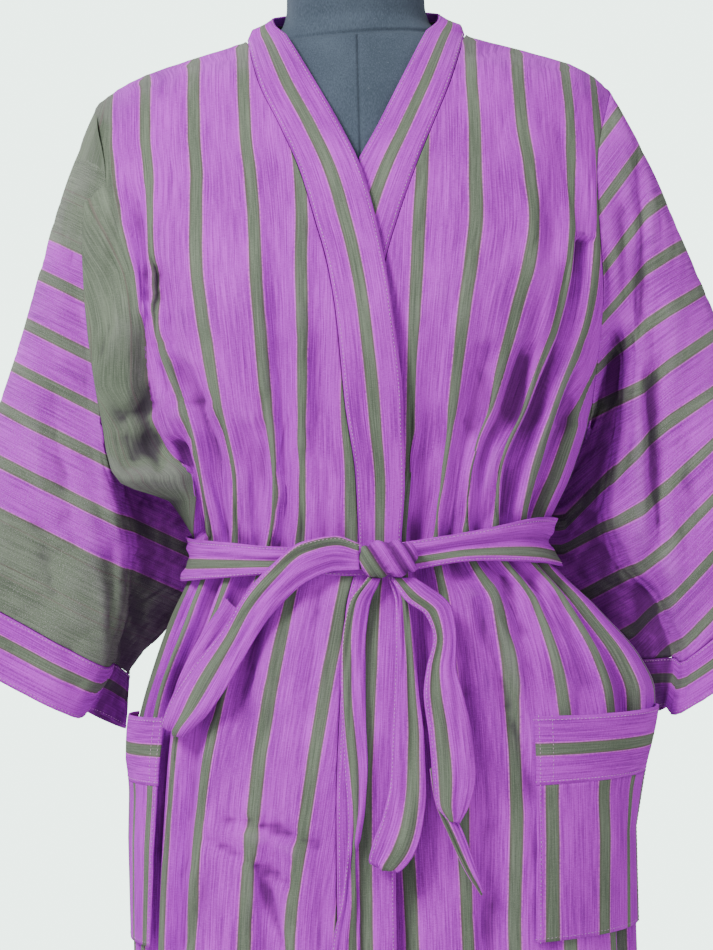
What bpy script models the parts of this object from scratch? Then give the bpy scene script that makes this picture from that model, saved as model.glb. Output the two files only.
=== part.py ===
"""Kimono robe on a dress form: loose cotton wrap robe with band collar, patch pockets and a tied sash.

Metres, +Z up. The origin is the centre of the stand base's underside. The robe's front faces -Y, and
+X is the wearer's left. Tables are in millimetres, one row for each section, with their columns named.
"""
import math

import bpy
import numpy as np

MM = 0.001

# Driving sizes
WALL = 1.8 * MM
DOUBLE_WALL = 2.4 * MM
SEAM_GAP = 0.3 * MM
LAYER_LIFT = 4.0 * MM
STRIPE_PITCH = 42.0 * MM
MAX_FOLD = 15.0 * MM
SKIRT_SLACK = 0.10
SECTION_POWER = 2.3
TOP_Z = 1.452
FRONT_TOP_Z = 1.4455
HEM_Z = 0.150
SASH_THICK = 2.0 * MM
SASH_CLEAR = 0.8 * MM
SASH_OUT = LAYER_LIFT + SASH_CLEAR + SASH_THICK
BASE_RADIUS = 0.190
BASE_THICK = 0.014
POLE_RADIUS = 0.0125
FORM_BOTTOM = 0.800

# Level sections of the worn robe: height, reach to the wearer's right and left, depth in front and behind
BODY = np.array([
    [1452, 86, 86, 62, 78], [1442, 108, 108, 64.5, 81], [1430, 150, 150, 68, 85], [1417, 192, 192, 72, 89],
    [1405, 216, 212, 75.5, 92], [1390, 232, 224, 79, 95], [1360, 243, 228, 86, 99], [1320, 246, 229, 97, 103],
    [1260, 244, 226, 116, 106], [1200, 238, 219, 131, 104], [1130, 216, 203, 122, 100], [1060, 185, 180, 108, 94],
    [1020, 160, 160, 99, 88], [1004, 153, 153, 96.5, 86.5], [985, 157, 159, 99, 89], [940, 178, 200, 106, 106],
    [895, 195, 237, 112, 120], [867, 204, 248, 114, 127], [843, 210, 247, 116, 130], [800, 216, 232, 118, 133],
    [760, 217, 226, 120, 134], [670, 217, 226, 124, 136], [400, 226, 231, 138, 146], [150, 236, 239, 150, 156],
])[::-1] * MM

# Level sections of the dress form: height, half width, depth in front and behind
FORM = np.array([
    [800, 168, 84, 104], [806, 174, 89, 109], [825, 176, 91, 111], [870, 168, 88, 105], [950, 140, 78, 84],
    [1020, 124, 71, 64], [1120, 150, 96, 74], [1200, 163, 112, 84], [1300, 172, 94, 88], [1370, 187, 78, 88],
    [1395, 189, 73, 87.5], [1414, 179, 66, 84], [1427, 147, 60, 80], [1438.5, 104, 56, 76],
    [1447.5, 80, 53, 72], [1459, 65, 53, 64], [1475, 61, 57, 61], [1530, 60, 58, 60],
]) * MM

# Over front, the wearer's right: height, x of the band's free edge and seam, then of five green stripes
OVER = np.array([
    [1446, -62, -96, -14, -56, -99, -141, -184], [1400, -37, -85, -14, -56, -98, -141, -184],
    [1360, -16, -67, -13, -55, -97, -141, -184], [1320, 1, -51, -9, -51, -93, -139, -181],
    [1280, 11, -40, -8, -50, -90, -140, -182], [1240, 18, -30, -10, -51, -89, -139, -181],
    [1200, 23, -24, -11, -51, -87, -135, -179], [1120, 30, -18, -17, -54, -83, -125, -156],
    [1060, 30, -11, -15, -56, -80, -115, -144], [1004, 26, -10, -16, -60, -86, -116, -139],
    [950, 25, -22, -26, -72, -106, -135, -157], [870, 20, -29, -43, -90, -133, -168, -188],
    [790, 15, -34, -58, -102, -149, -178, -201], [670, 13, -36, -76, -114, -162, -188, -206],
    [400, 11, -38, -82, -124, -168, -200, -218], [150, 9, -40, -88, -132, -174, -208, -228],
])[::-1] * MM

# Under front, the wearer's left: the same columns, counted away from the middle
UNDER = np.array([
    [1446, 61, 95, 55, 97, 137, 180, 205], [1400, 37, 80, 55, 97, 137, 180, 205],
    [1360, 16, 63, 54, 98, 139, 182, 206], [1320, -6, 46, 52, 97, 144, 182, 206],
    [1280, -20, 31, 48, 96, 146, 181, 203], [1240, -30, 18, 45, 90, 140, 177, 200],
    [1200, -38, 8, 42, 83, 128, 168, 194], [1120, -49, -3, 38, 72, 105, 136, 163],
    [1060, -54, -7, 35, 62, 87, 112, 141], [1004, -56, -9, 30, 55, 82, 108, 132],
    [950, -58, -10, 27, 61, 106, 141, 168], [870, -59, -11, 24, 66, 116, 160, 201],
    [790, -60, -12, 24, 71, 117, 163, 205], [670, -60, -12, 26, 73, 112, 160, 200],
    [400, -60, -12, 28, 75, 117, 166, 202], [150, -60, -12, 30, 77, 121, 171, 208],
])[::-1] * MM

# Where the valley of each fold lies between its two stripes, and the cloth's reach to the side seam
OVER_VALLEYS = [0.62, 0.66, 0.48, 0.55, 0.5]
UNDER_VALLEYS = [0.45, 0.58, 0.5, 0.42, 0.55]
OVER_SIDE = np.array([[150, 300], [670, 290], [1004, 283], [1130, 280], [1200, 262], [1360, 250], [1446, 250]]) * MM
UNDER_SIDE = np.array([[150, 290], [670, 280], [1004, 272], [1130, 266], [1200, 248], [1360, 238], [1446, 238]]) * MM

# Heights of the panels' level sections below the shoulders
SKIRT_LEVELS = [HEM_Z, 0.275, 0.40, 0.53, 0.66, 0.75, 0.82, 0.87, 0.91, 0.945, 0.972, 0.988, 1.004, 1.026, 1.06, 1.10]
CHEST_LEVELS = [1.114, 1.14, 1.20, 1.26, 1.31, 1.355]

# Armhole: an oval seen from the side
ARM_TOP = 1.398
ARM_LOW = 1.100
ARM_MIDDLE = (ARM_TOP + ARM_LOW) / 2
ARM_HALF = (ARM_TOP - ARM_LOW) / 2
ARM_FRONT = 0.058
ARM_BACK = 0.062
ARM_CLEAR = {"right": 1.5, "left": 1.0}

# Sleeves, from shoulder to hem: way along, x and z of the outer edge and of the inner edge,
# depth in front and behind, middle's y, share of the width where the front layer turns under,
# x and z of the back layer's inner tip
SLEEVE_COLUMNS = ("way", "out_x", "out_z", "in_x", "in_z", "front", "back", "y", "share", "tip_x", "tip_z")
SLEEVES = {
    "right": np.array([
        [0, 238, 1398, 221, 1100, 58, 62, 0, 960, 221, 1100], [150, 258, 1330, 224, 1080, 52, 56, 0, 950, 217, 1077],
        [300, 281, 1262, 214, 1035, 47, 50, 2, 950, 196, 1043], [450, 304, 1190, 204, 985, 44, 46, 4, 930, 174, 1006],
        [600, 331, 1118, 207, 956, 42, 43, 6, 940, 178, 968], [750, 356, 1058, 212, 926, 40, 42, 8, 940, 204, 931],
        [900, 381, 985, 222, 892, 39, 42, 10, 930, 221, 886], [1000, 405, 934, 226, 836, 38, 42, 10, 820, 226, 836],
    ]),
    "left": np.array([
        [0, 223, 1398, 208, 1100, 58, 62, 0, 900, 208, 1100], [150, 251, 1340, 210, 1085, 52, 56, 5, 650, 209, 1088],
        [300, 277, 1278, 200, 1045, 46, 50, 6, 700, 200, 1048], [450, 305, 1212, 197, 1000, 43, 46, 10, 880, 180, 1000],
        [600, 331, 1148, 212, 955, 41, 43, 14, 880, 182, 962], [750, 353, 1074, 235, 913, 38, 42, 16, 830, 212, 922],
        [900, 380, 978, 255, 876, 36, 42, 18, 870, 241, 886], [1000, 403, 928, 258, 839, 36, 42, 18, 960, 258, 839],
    ]),
}
CUFF_WAY = 0.900
MOUTH_RISE = {"right": 0.055, "left": 0.008}

# Closed outline across a sleeve: share of the width, where 1 is the turn of the front layer, and y
SLEEVE_OUTLINE = [
    (0.0, 0.0), (0.05, -0.72), (0.24, -1.0), (0.5, -0.96), (0.76, -1.0), (0.95, -0.72), (1.0, -0.25),
    (1.02, 0.08), (1.10, 0.26), (1.20, 0.46), (1.16, 0.80), (1.0, 0.96), (0.72, 1.0), (0.44, 0.94), (0.18, 0.9),
    (0.03, 0.5),
]

LOW_TURN = 9 / len(SLEEVE_OUTLINE)
TAIL_END = 1.20

# Sash round the waist: angle from the front middle towards the wearer's right, heights of its two edges
SASH = np.array([
    [0, 978, 1003], [25, 981, 1004], [50, 978, 1008], [90, 974, 1012], [135, 976, 1018], [180, 980, 1024],
    [225, 982, 1026], [270, 978, 1020], [300, 984, 1022], [330, 988, 1013], [360, 978, 1003],
])

# Bow and tails: x, z and distance out from the robe for the left edge, then for the right edge
RIBBONS = {
    "bow_loop_right": [
        (-9.7, 1006, 20, -9.7, 984, 18), (-30, 1013, 19, -28, 984, 14), (-56, 1009, 21, -52, 976, 15),
        (-82, 990, 21, -72, 961, 14), (-106, 966, 20, -88, 944, 13), (-128, 934, 19, -106, 916, 14),
        (-152, 907, 20, -122, 890, 15), (-170, 882, 21, -140, 866, 17), (-178, 862, 20, -156, 852, 18),
        (-180, 856, 15, -162, 846, 14), (-178, 862, 10.5, -158, 852, 9.5), (-166, 894, 9.5, -144, 880, 9),
        (-146, 930, 9.5, -126, 914, 9), (-124, 962, 10.5, -104, 944, 9.5),
    ],
    "bow_tail_right": [
        (-3, 977.9, 17, 8, 976.3, 17), (-19, 955, 9, -2, 955, 13), (-26, 915, 9, -7, 918, 12),
        (-28, 870, 9, -8, 872, 11), (-27, 825, 9, -7, 828, 12), (-25, 793, 9, -10, 790, 12),
        (-24, 768, 9, -15, 765, 13), (-27, 746, 14, -19, 746, 9), (-32, 712, 14, -17, 712, 9),
        (-41, 672, 12, -18, 672, 9), (-46, 620, 11, -20, 620, 9), (-48, 575, 10, -22, 570, 9),
    ],
    "bow_loop_middle": [
        (14, 976.6, 14, 25, 976.6, 14), (20, 955, 9, 31, 955, 9.5), (19, 920, 10, 34, 920, 10),
        (16, 880, 11, 37, 880, 12), (13, 840, 12, 40, 842, 14), (10, 806, 12, 40, 805, 16),
        (4, 780, 13, 37, 775, 18), (-4, 760, 15, 29, 750, 20), (-8, 746, 17, 16, 736, 20),
        (-4, 740, 12, 14, 736, 13),
    ],
    "bow_loop_left": [
        (16, 976.2, 17, 36, 976.2, 16), (28, 958, 19, 48, 968, 18), (44, 945, 19, 66, 950, 20),
        (50, 926, 18, 69, 924, 21), (44, 902, 17, 68, 904, 20), (41, 880, 17, 73, 880, 19),
        (44, 848, 16, 79, 850, 18), (46, 815, 14, 82, 815, 17), (48, 790, 12, 77, 790, 15),
        (58, 775, 12, 68, 773, 13),
    ],
    "bow_tail_left": [
        (44, 818, 11.9, 52, 824, 12.2), (48, 790, 8, 58, 794, 8.5), (60, 758, 8, 71, 762, 9),
        (72, 732, 8, 80, 735, 8.5), (84, 712, 8, 87, 714, 8),
    ],
}
KNOT = {"x": (-9.6, 39.6), "z": (976.8, 1008.5), "deep": 24.0, "power": 3.2}
RIBBON_WALL = 1.6 * MM

# Patch pockets: inner edge's distance from the nearest stripe of the table, width, height, band
POCKETS = {
    "right": {"start": 0.140, "width": 0.150, "top": 0.860, "low": 0.664, "gape": 0.010},
    "left": {"start": 0.099, "width": 0.148, "top": 0.857, "low": 0.668, "gape": 0.016},
}
POCKET_BAND = 0.058
POCKET_OUT = WALL + 0.8 * MM

# Neckband behind the neck, its seam edge and then its free edge. At the shoulder: x, y, height above TOP_Z.
# Round the back: half width, depth, middle's y, height above TOP_Z beside the neck, rise to the centre back.
NECK_SHOULDER = [(0.0915, -0.031, -0.0005), (0.0705, -0.038, 0.0035)]
NECK_EDGES = [(0.0900, 0.0905, -0.012, 0.0045, -0.001), (0.0735, 0.0860, -0.010, 0.014, 0.022)]
BAND_APART = 1.4 * SEAM_GAP

COLOURS = {
    "purple_cotton": ((0.190, 0.052, 0.330), 0.85, 0.0),
    "form_cloth": ((0.020, 0.026, 0.036), 0.80, 0.0),
    "black_plastic": ((0.012, 0.012, 0.013), 0.35, 0.0),
    "stand_steel": ((0.020, 0.020, 0.022), 0.40, 0.6),
}


def smooth_step(x):
    x = np.clip(x, 0.0, 1.0)
    return x * x * (3.0 - 2.0 * x)


def ease(knots, values, at):
    """Smooth curve through a table's rows that never overshoots them."""
    knots, values, at = (np.asarray(a, dtype=float) for a in (knots, values, at))
    step = np.diff(knots)
    slope = np.diff(values) / step
    inner = np.where(slope[1:] * slope[:-1] > 0,
                     2 * slope[1:] * slope[:-1] / np.where(slope[1:] + slope[:-1] == 0, 1, slope[1:] + slope[:-1]), 0)
    tangent = np.concatenate([slope[:1], inner, slope[-1:]])
    i = np.clip(np.searchsorted(knots, at, side="right") - 1, 0, len(step) - 1)
    h = step[i]
    t = np.clip((at - knots[i]) / h, -1.0, 2.0)
    return ((2 * t**3 - 3 * t**2 + 1) * values[i] + (t**3 - 2 * t**2 + t) * h * tangent[i]
            + (3 * t**2 - 2 * t**3) * values[i + 1] + (t**3 - t**2) * h * tangent[i + 1])


def body_at(z):
    return [float(ease(BODY[:, 0], BODY[:, i], z)) for i in (1, 2, 3, 4)]


def section(z, face):
    """Level line of the robe, from the wearer's right side to the left, and the arc from x = 0."""
    reach_right, reach_left, front, back = body_at(z)
    turn = np.radians(np.linspace(-90, 90, 361))
    reach = np.where(turn < 0, reach_right, reach_left)
    x = reach * np.sign(turn) * np.abs(np.sin(turn)) ** (2 / SECTION_POWER)
    y = (-front if face == "front" else back) * np.cos(turn).clip(0) ** (2 / SECTION_POWER)
    arc = np.concatenate([[0], np.cumsum(np.hypot(np.diff(x), np.diff(y)))])
    return x, y, arc - np.interp(0.0, x, arc)


def on_section(z, arcs, out, face):
    """Points at these arcs of a level line, moved out of it along its level normal."""
    x, y, arc = section(z, face)
    px = np.interp(arcs, arc, x)
    py = np.interp(arcs, arc, y)
    width = 2.0 * MM
    tx = np.interp(arcs + width, arc, x) - np.interp(arcs - width, arc, x)
    ty = np.interp(arcs + width, arc, y) - np.interp(arcs - width, arc, y)
    size = np.hypot(tx, ty)
    way = 1.0 if face == "front" else -1.0
    return np.stack([px + way * out * ty / size, py - way * out * tx / size, np.full_like(px, z)], axis=-1)


def arm_edge(z, face):
    """Distance of the armhole's edge from the shoulder line, seen from the side."""
    across = 1.0 - ((z - ARM_MIDDLE) / ARM_HALF) ** 2
    return math.sqrt(max(across, 0.0)) * (ARM_FRONT if face == "front" else ARM_BACK)


def side_arc(z, face, side):
    """Arc at which a panel ends: at the side seam, the armhole or the shoulder."""
    x, y, arc = section(z, face)
    half = arc[x >= 0] if side > 0 else -arc[x <= 0][::-1]
    depth = np.abs(y[x >= 0]) if side > 0 else np.abs(y[x <= 0])[::-1]
    return float(np.interp(-arm_edge(z, face) - 1.5 * SEAM_GAP, -depth, half))


def fold_depth(cloth, arc):
    """How deep a fold stands in cloth that is longer than the arc it covers."""
    slack = cloth / arc - 1.0
    return min(2.0 * arc / math.pi * math.sqrt(slack), 0.42 * arc, MAX_FOLD) if slack > 0 else 0.0


def fold_fade(z):
    """Folds die out at the shoulders and run out slowly towards the hem."""
    return float(smooth_step((1.365 - z) / 0.12)) * (0.80 + 0.20 * float(smooth_step((z - HEM_Z) / 0.5)))


def folded(u, marks, valleys, arcs, z, plain_first=False):
    """Arc and depth at cloth places u: one valley in each gap between marks, none beside a side seam."""
    s = ease(marks, arcs, u)
    out = np.zeros_like(u)
    extra = 1.0 + SKIRT_SLACK * float(smooth_step((0.96 - z) / 0.08))
    for k in range(1 if plain_first else 0, len(marks) - 2):
        t = (u - marks[k]) / (marks[k + 1] - marks[k])
        inside = (t >= 0) & (t <= 1)
        share = valleys[k % len(valleys)]
        warped = np.where(t < share, 0.5 * t / share, 1 - 0.5 * (1 - t) / (1 - share))
        depth = fold_depth((marks[k + 1] - marks[k]) * extra, arcs[k + 1] - arcs[k]) * fold_fade(z)
        out = np.where(inside, -0.5 * depth * (1 - np.cos(2 * np.pi * warped)), out)
    return s, out


class Front:
    """One front panel. Its cloth places u are counted from the first green stripe outwards."""

    def __init__(self, table, side_table, valleys, side):
        self.table, self.side_table, self.valleys, self.side = table, side_table, valleys, side
        self.over = side < 0

    def column(self, i, z):
        return float(ease(self.table[:, 0], self.table[:, i], z))

    def marks(self, z):
        """Cloth places and arcs of the stripes, ended by the panel's side."""
        x, y, arc = section(z, "front")
        arcs = [self.side * float(np.interp(self.column(i, z), x, arc)) for i in range(3, 8)]
        cloth = [k * STRIPE_PITCH for k in range(5)]
        end = side_arc(z, "front", self.side)
        while len(arcs) > 1 and arcs[-1] > end - 0.012:
            arcs.pop()
            cloth.pop()
        last = cloth[-1]
        reach = max(float(ease(self.side_table[:, 0], self.side_table[:, 1], z)) - last, end - arcs[-1])
        gaps = 2 if len(cloth) == 5 else 1
        for k in range(1, gaps + 1):
            cloth.append(last + reach * k / gaps)
        arcs += [arcs[-1] + (end - arcs[-1]) * k / gaps for k in range(1, gaps + 1)]
        return np.array(cloth), np.array(arcs)

    def place(self, z, x_side):
        """Cloth place that lies at this x, counted outwards."""
        x, y, arc = section(z, "front")
        cloth, arcs = self.marks(z)
        first = cloth[0] - 0.3
        return float(np.interp(self.side * np.interp(x_side, x, arc),
                               [arcs[0] - 0.3, *arcs], [first, *cloth]))

    def seam(self, z):
        return self.place(z, self.column(2, z)) + SEAM_GAP

    def layer(self, x, z):
        """The over front lies out of the body's section, the under front sinks beneath it."""
        below = smooth_step((1.385 - z) / 0.06)
        if self.over:
            return LAYER_LIFT * below * smooth_step((x + 0.170) / 0.100)
        deep = 0.018 * smooth_step((1.30 - z) / 0.2) + 0.002
        return -deep * below * (1.0 - smooth_step((x + 0.004) / 0.062))

    def points(self, z, u, out=0.0, flat=1.0):
        cloth, arcs = self.marks(z)
        before = u < 0
        s, depth = folded(np.maximum(u, 0.0), cloth, self.valleys, arcs, z)
        s = np.where(before, arcs[0] + u, s)
        depth = np.where(before, 0.0, depth) * flat * smooth_step((u - self.seam(z)) / 0.020)
        x, y, arc = section(z, "front")
        lay = self.layer(np.interp(self.side * s, arc, x), z)
        return on_section(z, self.side * s, depth + lay + out, "front")

    def between(self, z, u, out):
        """Points moved out of the panel's flat stretch between the two levels beside this height."""
        above = next(k for k, level in enumerate(SKIRT_LEVELS) if level >= z)
        low, high = SKIRT_LEVELS[above - 1], SKIRT_LEVELS[above]
        share = (z - low) / (high - low)
        return self.points(low, u, out, 0.0) * (1 - share) + self.points(high, u, out, 0.0) * share

    def row(self, z, columns):
        cloth, arcs = self.marks(z)
        return self.points(z, np.linspace(self.seam(z), cloth[-1], columns))

    def band_row(self, z, columns):
        """Neckband at this height, from the seam to its free edge, on the panel's own surface."""
        x, y, arc = section(z, "front")
        across = np.linspace(self.column(2, z) - self.side * SEAM_GAP, self.column(1, z), columns)
        return on_section(z, np.interp(across, x, arc), self.layer(across, z), "front")


OVER_FRONT = Front(OVER, OVER_SIDE, OVER_VALLEYS, -1)
UNDER_FRONT = Front(UNDER, UNDER_SIDE, UNDER_VALLEYS, 1)


def back_row(z, columns):
    """Back panel, straight cut, with its cloth gathered evenly enough to look hung."""
    right = side_arc(z, "back", -1)
    left = side_arc(z, "back", 1)
    half = float(ease([150, 670, 1004, 1200, 1452], [320, 300, 286, 276, 268], z * 1000)) * MM
    gaps = 5
    marks = np.linspace(-half, half, 2 * gaps + 1)
    uneven = 0.16 * np.sin(2.1 * np.arange(2 * gaps + 1))
    uneven[[0, gaps, -1]] = 0.0
    shares = (np.arange(-gaps, gaps + 1) + uneven) / gaps
    arcs = np.where(shares < 0, shares * right, shares * left)
    valleys = [0.5, 0.42, 0.58, 0.46, 0.55, 0.5, 0.4]
    slack_top = float(smooth_step((z - 1.15) / 0.15))
    u = np.linspace(-half, half, columns)
    s, depth = folded(u, marks, valleys, arcs, z, plain_first=True)
    return on_section(z, s, depth * (1 - 0.75 * slack_top), "back")


def sleeve_point(side, way, turn):
    """Sleeve surface: way runs from the armhole to the hem, turn once round from the top edge by the front."""
    table = SLEEVES[side]
    get = {name: float(ease(table[:, 0], table[:, i], way * 1000)) * MM for i, name in enumerate(SLEEVE_COLUMNS)}
    sign = -1.0 if side == "right" else 1.0
    loop = np.array(SLEEVE_OUTLINE)
    count = len(loop)
    at = (turn % 1.0) * count
    i = int(at)
    f = at - i
    p = [loop[(i + k) % count] for k in (-1, 0, 1, 2)]
    a, b = 0.5 * (2 * p[1] + (p[2] - p[0]) * f + (2 * p[0] - 5 * p[1] + 4 * p[2] - p[3]) * f**2
                  + (3 * p[1] - p[0] - 3 * p[2] + p[3]) * f**3)
    tail = max(a - 1.0, 0.0) / (TAIL_END - 1.0)
    across = min(a, 1.0) * get["share"] + tail * (1.0 - get["share"])
    x, z = (get["out" + end] + (get["in" + end] - get["out" + end]) * min(a, 1.0) * get["share"]
            for end in ("_x", "_z"))
    x, z = x + (get["tip_x"] - x) * tail, z + (get["tip_z"] - z) * tail
    y = get["y"] + (b * get["front"] if b < 0 else b * get["back"])
    y -= 0.40 * get["back"] * (1.0 - float(smooth_step(way / 0.35))) * across
    rise = MOUTH_RISE[side] * max(way - 0.80, 0.0) / 0.20
    lift = rise * float(smooth_step((turn - 0.36) / 0.07)) * (1 - float(smooth_step((turn - 0.47) / 0.20)))
    hang = np.array([sign * (x - 0.45 * lift), y, z + 0.89 * lift])
    oval = arm_oval(side, turn)
    blend = float(smooth_step(way / 0.22))
    return oval * (1 - blend) + hang * blend if blend < 1 else hang


def arm_oval(side, turn):
    """The armhole's own edge, at the same turn round as the sleeve."""
    turn = turn % 1.0
    share = 0.5 * turn / LOW_TURN if turn < LOW_TURN else 0.5 + 0.5 * (turn - LOW_TURN) / (1 - LOW_TURN)
    angle = 2 * math.pi * share
    z = ARM_MIDDLE + ARM_HALF * math.cos(angle)
    face = "front" if math.sin(angle) >= 0 else "back"
    sign = -1.0 if side == "right" else 1.0
    arc = side_arc(z, face, sign)
    point = on_section(z, np.array([sign * arc]), np.zeros(1), face)[0]
    low = (0.5 - 0.5 * math.cos(angle)) ** 2
    return point + np.array([sign * (ARM_CLEAR[side] + 2.2 * low) * MM, 0.0, (0.2 - 1.6 * low) * MM])


def front_y(x, z):
    """The robe's outermost front face, without its folds."""
    px, py, arc = section(z, "front")
    return float(np.interp(x, px, py))


def material(name):
    colour, rough, metal = COLOURS[name]
    item = bpy.data.materials.get(name) or bpy.data.materials.new(name)
    item.use_nodes = True
    shader = item.node_tree.nodes["Principled BSDF"]
    shader.inputs["Base Color"].default_value = (*colour, 1.0)
    shader.inputs["Roughness"].default_value = rough
    shader.inputs["Metallic"].default_value = metal
    return item


def add(name, mesh, slot):
    piece = bpy.data.objects.new(name, mesh)
    PARTS.objects.link(piece)
    mesh.materials.append(material(slot))
    mesh.shade_smooth()
    return piece


def grid_mesh(name, grid, closed=False, caps=False, flip=False):
    """Mesh of a grid of points: rows of columns, the columns joined round when closed."""
    rows, columns = grid.shape[:2]
    faces = []
    for r in range(rows - 1):
        for c in range(columns if closed else columns - 1):
            d = (c + 1) % columns
            quad = (r * columns + c, r * columns + d, (r + 1) * columns + d, (r + 1) * columns + c)
            faces.append(quad[::-1] if flip else quad)
    if caps:
        low = list(range(columns))
        high = [(rows - 1) * columns + c for c in range(columns)]
        faces += [low if flip else low[::-1], high[::-1] if flip else high]
    mesh = bpy.data.meshes.new(name)
    mesh.from_pydata([tuple(p) for p in grid.reshape(-1, 3)], [], faces)
    mesh.update()
    return mesh


def cloth(name, grid, slot, thick=WALL, closed=False, flip=False, offset=-1.0):
    """A piece of cloth: an open surface that Solidify gives its wall."""
    piece = add(name, grid_mesh(name, grid, closed=closed, flip=flip), slot)
    wall = piece.modifiers.new("wall", "SOLIDIFY")
    wall.thickness = thick
    wall.offset = offset
    return piece


def turned(name, profile, slot, steps=40):
    """A round piece: a profile of radius and height, top to bottom, swept once round."""
    mesh = bpy.data.meshes.new(name)
    mesh.from_pydata([(r, 0.0, z) for r, z in profile], [(i, i + 1) for i in range(len(profile) - 1)], [])
    piece = add(name, mesh, slot)
    sweep = piece.modifiers.new("turn", "SCREW")
    sweep.steps = steps
    sweep.render_steps = steps
    sweep.use_merge_vertices = True
    sweep.merge_threshold = 0.00005
    return piece


def make_form():
    turns = np.radians(np.arange(0, 360, 18))
    grid = []
    for z, half, front, back in FORM:
        x = half * np.sign(np.sin(turns)) * np.abs(np.sin(turns)) ** (2 / SECTION_POWER)
        y = np.where(np.cos(turns) > 0, -front, back) * np.abs(np.cos(turns)) ** (2 / SECTION_POWER)
        grid.append(np.stack([x, y, np.full_like(x, z)], axis=-1))
    add("form_torso", grid_mesh("form_torso", np.array(grid), closed=True, caps=True), "form_cloth")
    top = FORM[-1, 0] + SEAM_GAP
    turned("form_neck_cap", [(0, top + 0.010), (0.045, top + 0.008), (0.056, top + 0.004), (0.056, top), (0, top)],
           "black_plastic", 32)
    pole_top = FORM_BOTTOM - SEAM_GAP
    turned("stand_pole", [(0, pole_top), (POLE_RADIUS + 0.012, pole_top), (POLE_RADIUS + 0.012, pole_top - 0.006),
                          (POLE_RADIUS, pole_top - 0.010), (POLE_RADIUS, BASE_THICK + SEAM_GAP),
                          (0, BASE_THICK + SEAM_GAP)], "stand_steel", 24)
    turned("stand_base", [(0, BASE_THICK), (0.050, BASE_THICK), (BASE_RADIUS - 0.012, BASE_THICK - 0.003),
                          (BASE_RADIUS - 0.003, BASE_THICK - 0.007), (BASE_RADIUS, 0.004), (BASE_RADIUS - 0.003, 0),
                          (0, 0)], "stand_steel", 48)


def make_back():
    high = [1.385, 1.400, 1.411, 1.422, 1.432, 1.443, TOP_Z]
    grid = np.array([back_row(z, 31) for z in SKIRT_LEVELS + CHEST_LEVELS + high])
    cloth("back", grid, "purple_cotton", flip=True)


def make_fronts():
    high = [1.385, 1.400, 1.411, 1.422, 1.434, FRONT_TOP_Z]
    for name, front in (("front_right", OVER_FRONT), ("front_left", UNDER_FRONT)):
        grid = np.array([front.row(z, 25) for z in SKIRT_LEVELS + CHEST_LEVELS + high])
        cloth(name, grid, "purple_cotton", flip=front.over)


def neck_rows(front, count):
    """Neckband behind the neck: from the shoulder to the centre back, seam edge first."""
    sign = front.side
    edges = [[(sign * x, y, TOP_Z + up) for x, y, up in NECK_SHOULDER]]
    for angle in np.radians(np.linspace(6, 90, count)):
        edges.append([(sign * max(half * math.cos(angle), BAND_APART), middle + deep * math.sin(angle),
                       TOP_Z + low + rise * math.sin(angle)) for half, deep, middle, low, rise in NECK_EDGES])
    return [np.linspace(seam, free, 3) for seam, free in edges]


def make_bands():
    high = [1.385, 1.400, 1.415, 1.430, FRONT_TOP_Z - 0.002]
    for name, front in (("neckband_right", OVER_FRONT), ("neckband_left", UNDER_FRONT)):
        rows = [front.band_row(z, 3) for z in SKIRT_LEVELS + CHEST_LEVELS + high]
        grid = np.array(rows + neck_rows(front, 6))
        cloth(name, grid, "purple_cotton", thick=DOUBLE_WALL, flip=not front.over)


def make_sleeves():
    turns = np.linspace(0, 1, 21)[:-1]
    for side in SLEEVES:
        ways = [0, 0.08, 0.17, 0.28, 0.41, 0.54, 0.66, 0.78, 0.88, CUFF_WAY - 0.0012]
        grid = np.array([[sleeve_point(side, w, t) for t in turns] for w in ways])
        cloth("sleeve_" + side, grid, "purple_cotton", closed=True, flip=side == "left")
        ways = [CUFF_WAY + 0.0012, 0.92, 1.0]
        grid = np.array([[sleeve_point(side, w, t) for t in turns] for w in ways])
        cloth("cuff_" + side, grid, "purple_cotton", thick=DOUBLE_WALL, closed=True, flip=side == "left")


def pocket_rows(front, plan, z_values, gape):
    rows = []
    for z in z_values:
        u = np.linspace(plan["start"], plan["start"] + plan["width"], 12)
        cloth_end = front.marks(z)[0][-1] - 0.006
        u = plan["start"] + (min(u[-1], cloth_end) - plan["start"]) * np.linspace(0, 1, 12)
        open_share = smooth_step((z - plan["top"] + 0.075) / 0.075)
        bulge = gape * open_share * np.sin(np.pi * np.linspace(0, 1, 12)).clip(0) ** 0.7
        rows.append(front.between(z, u, POCKET_OUT + bulge))
    return np.array(rows)


def make_pockets():
    for side, front in (("right", OVER_FRONT), ("left", UNDER_FRONT)):
        plan = POCKETS[side]
        seam = plan["top"] - POCKET_BAND
        low = pocket_rows(front, plan, np.linspace(plan["low"], seam - SEAM_GAP, 4), plan["gape"])
        cloth("pocket_" + side, low, "purple_cotton", flip=front.over)
        high = pocket_rows(front, plan, np.linspace(seam, plan["top"], 4), plan["gape"])
        cloth("pocket_band_" + side, high, "purple_cotton", flip=front.over)


def make_sash():
    grid = []
    for angle in np.arange(0, 360, 10.0):
        low, high = (float(ease(SASH[:, 0], SASH[:, i], angle)) * MM for i in (1, 2))
        face = "front" if math.cos(math.radians(angle)) > 1e-9 else "back"
        turn = -math.degrees(math.asin(math.sin(math.radians(angle))))
        column = []
        for z in np.linspace(low, high, 3):
            place = np.interp([turn], np.linspace(-90, 90, 361), section(z, face)[2])
            column.append(on_section(z, place, SASH_OUT, face)[0])
        grid.append(column)
    grid = np.transpose(np.array(grid), (1, 0, 2))
    cloth("sash_waist", grid, "purple_cotton", thick=SASH_THICK, closed=True, flip=True)


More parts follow.
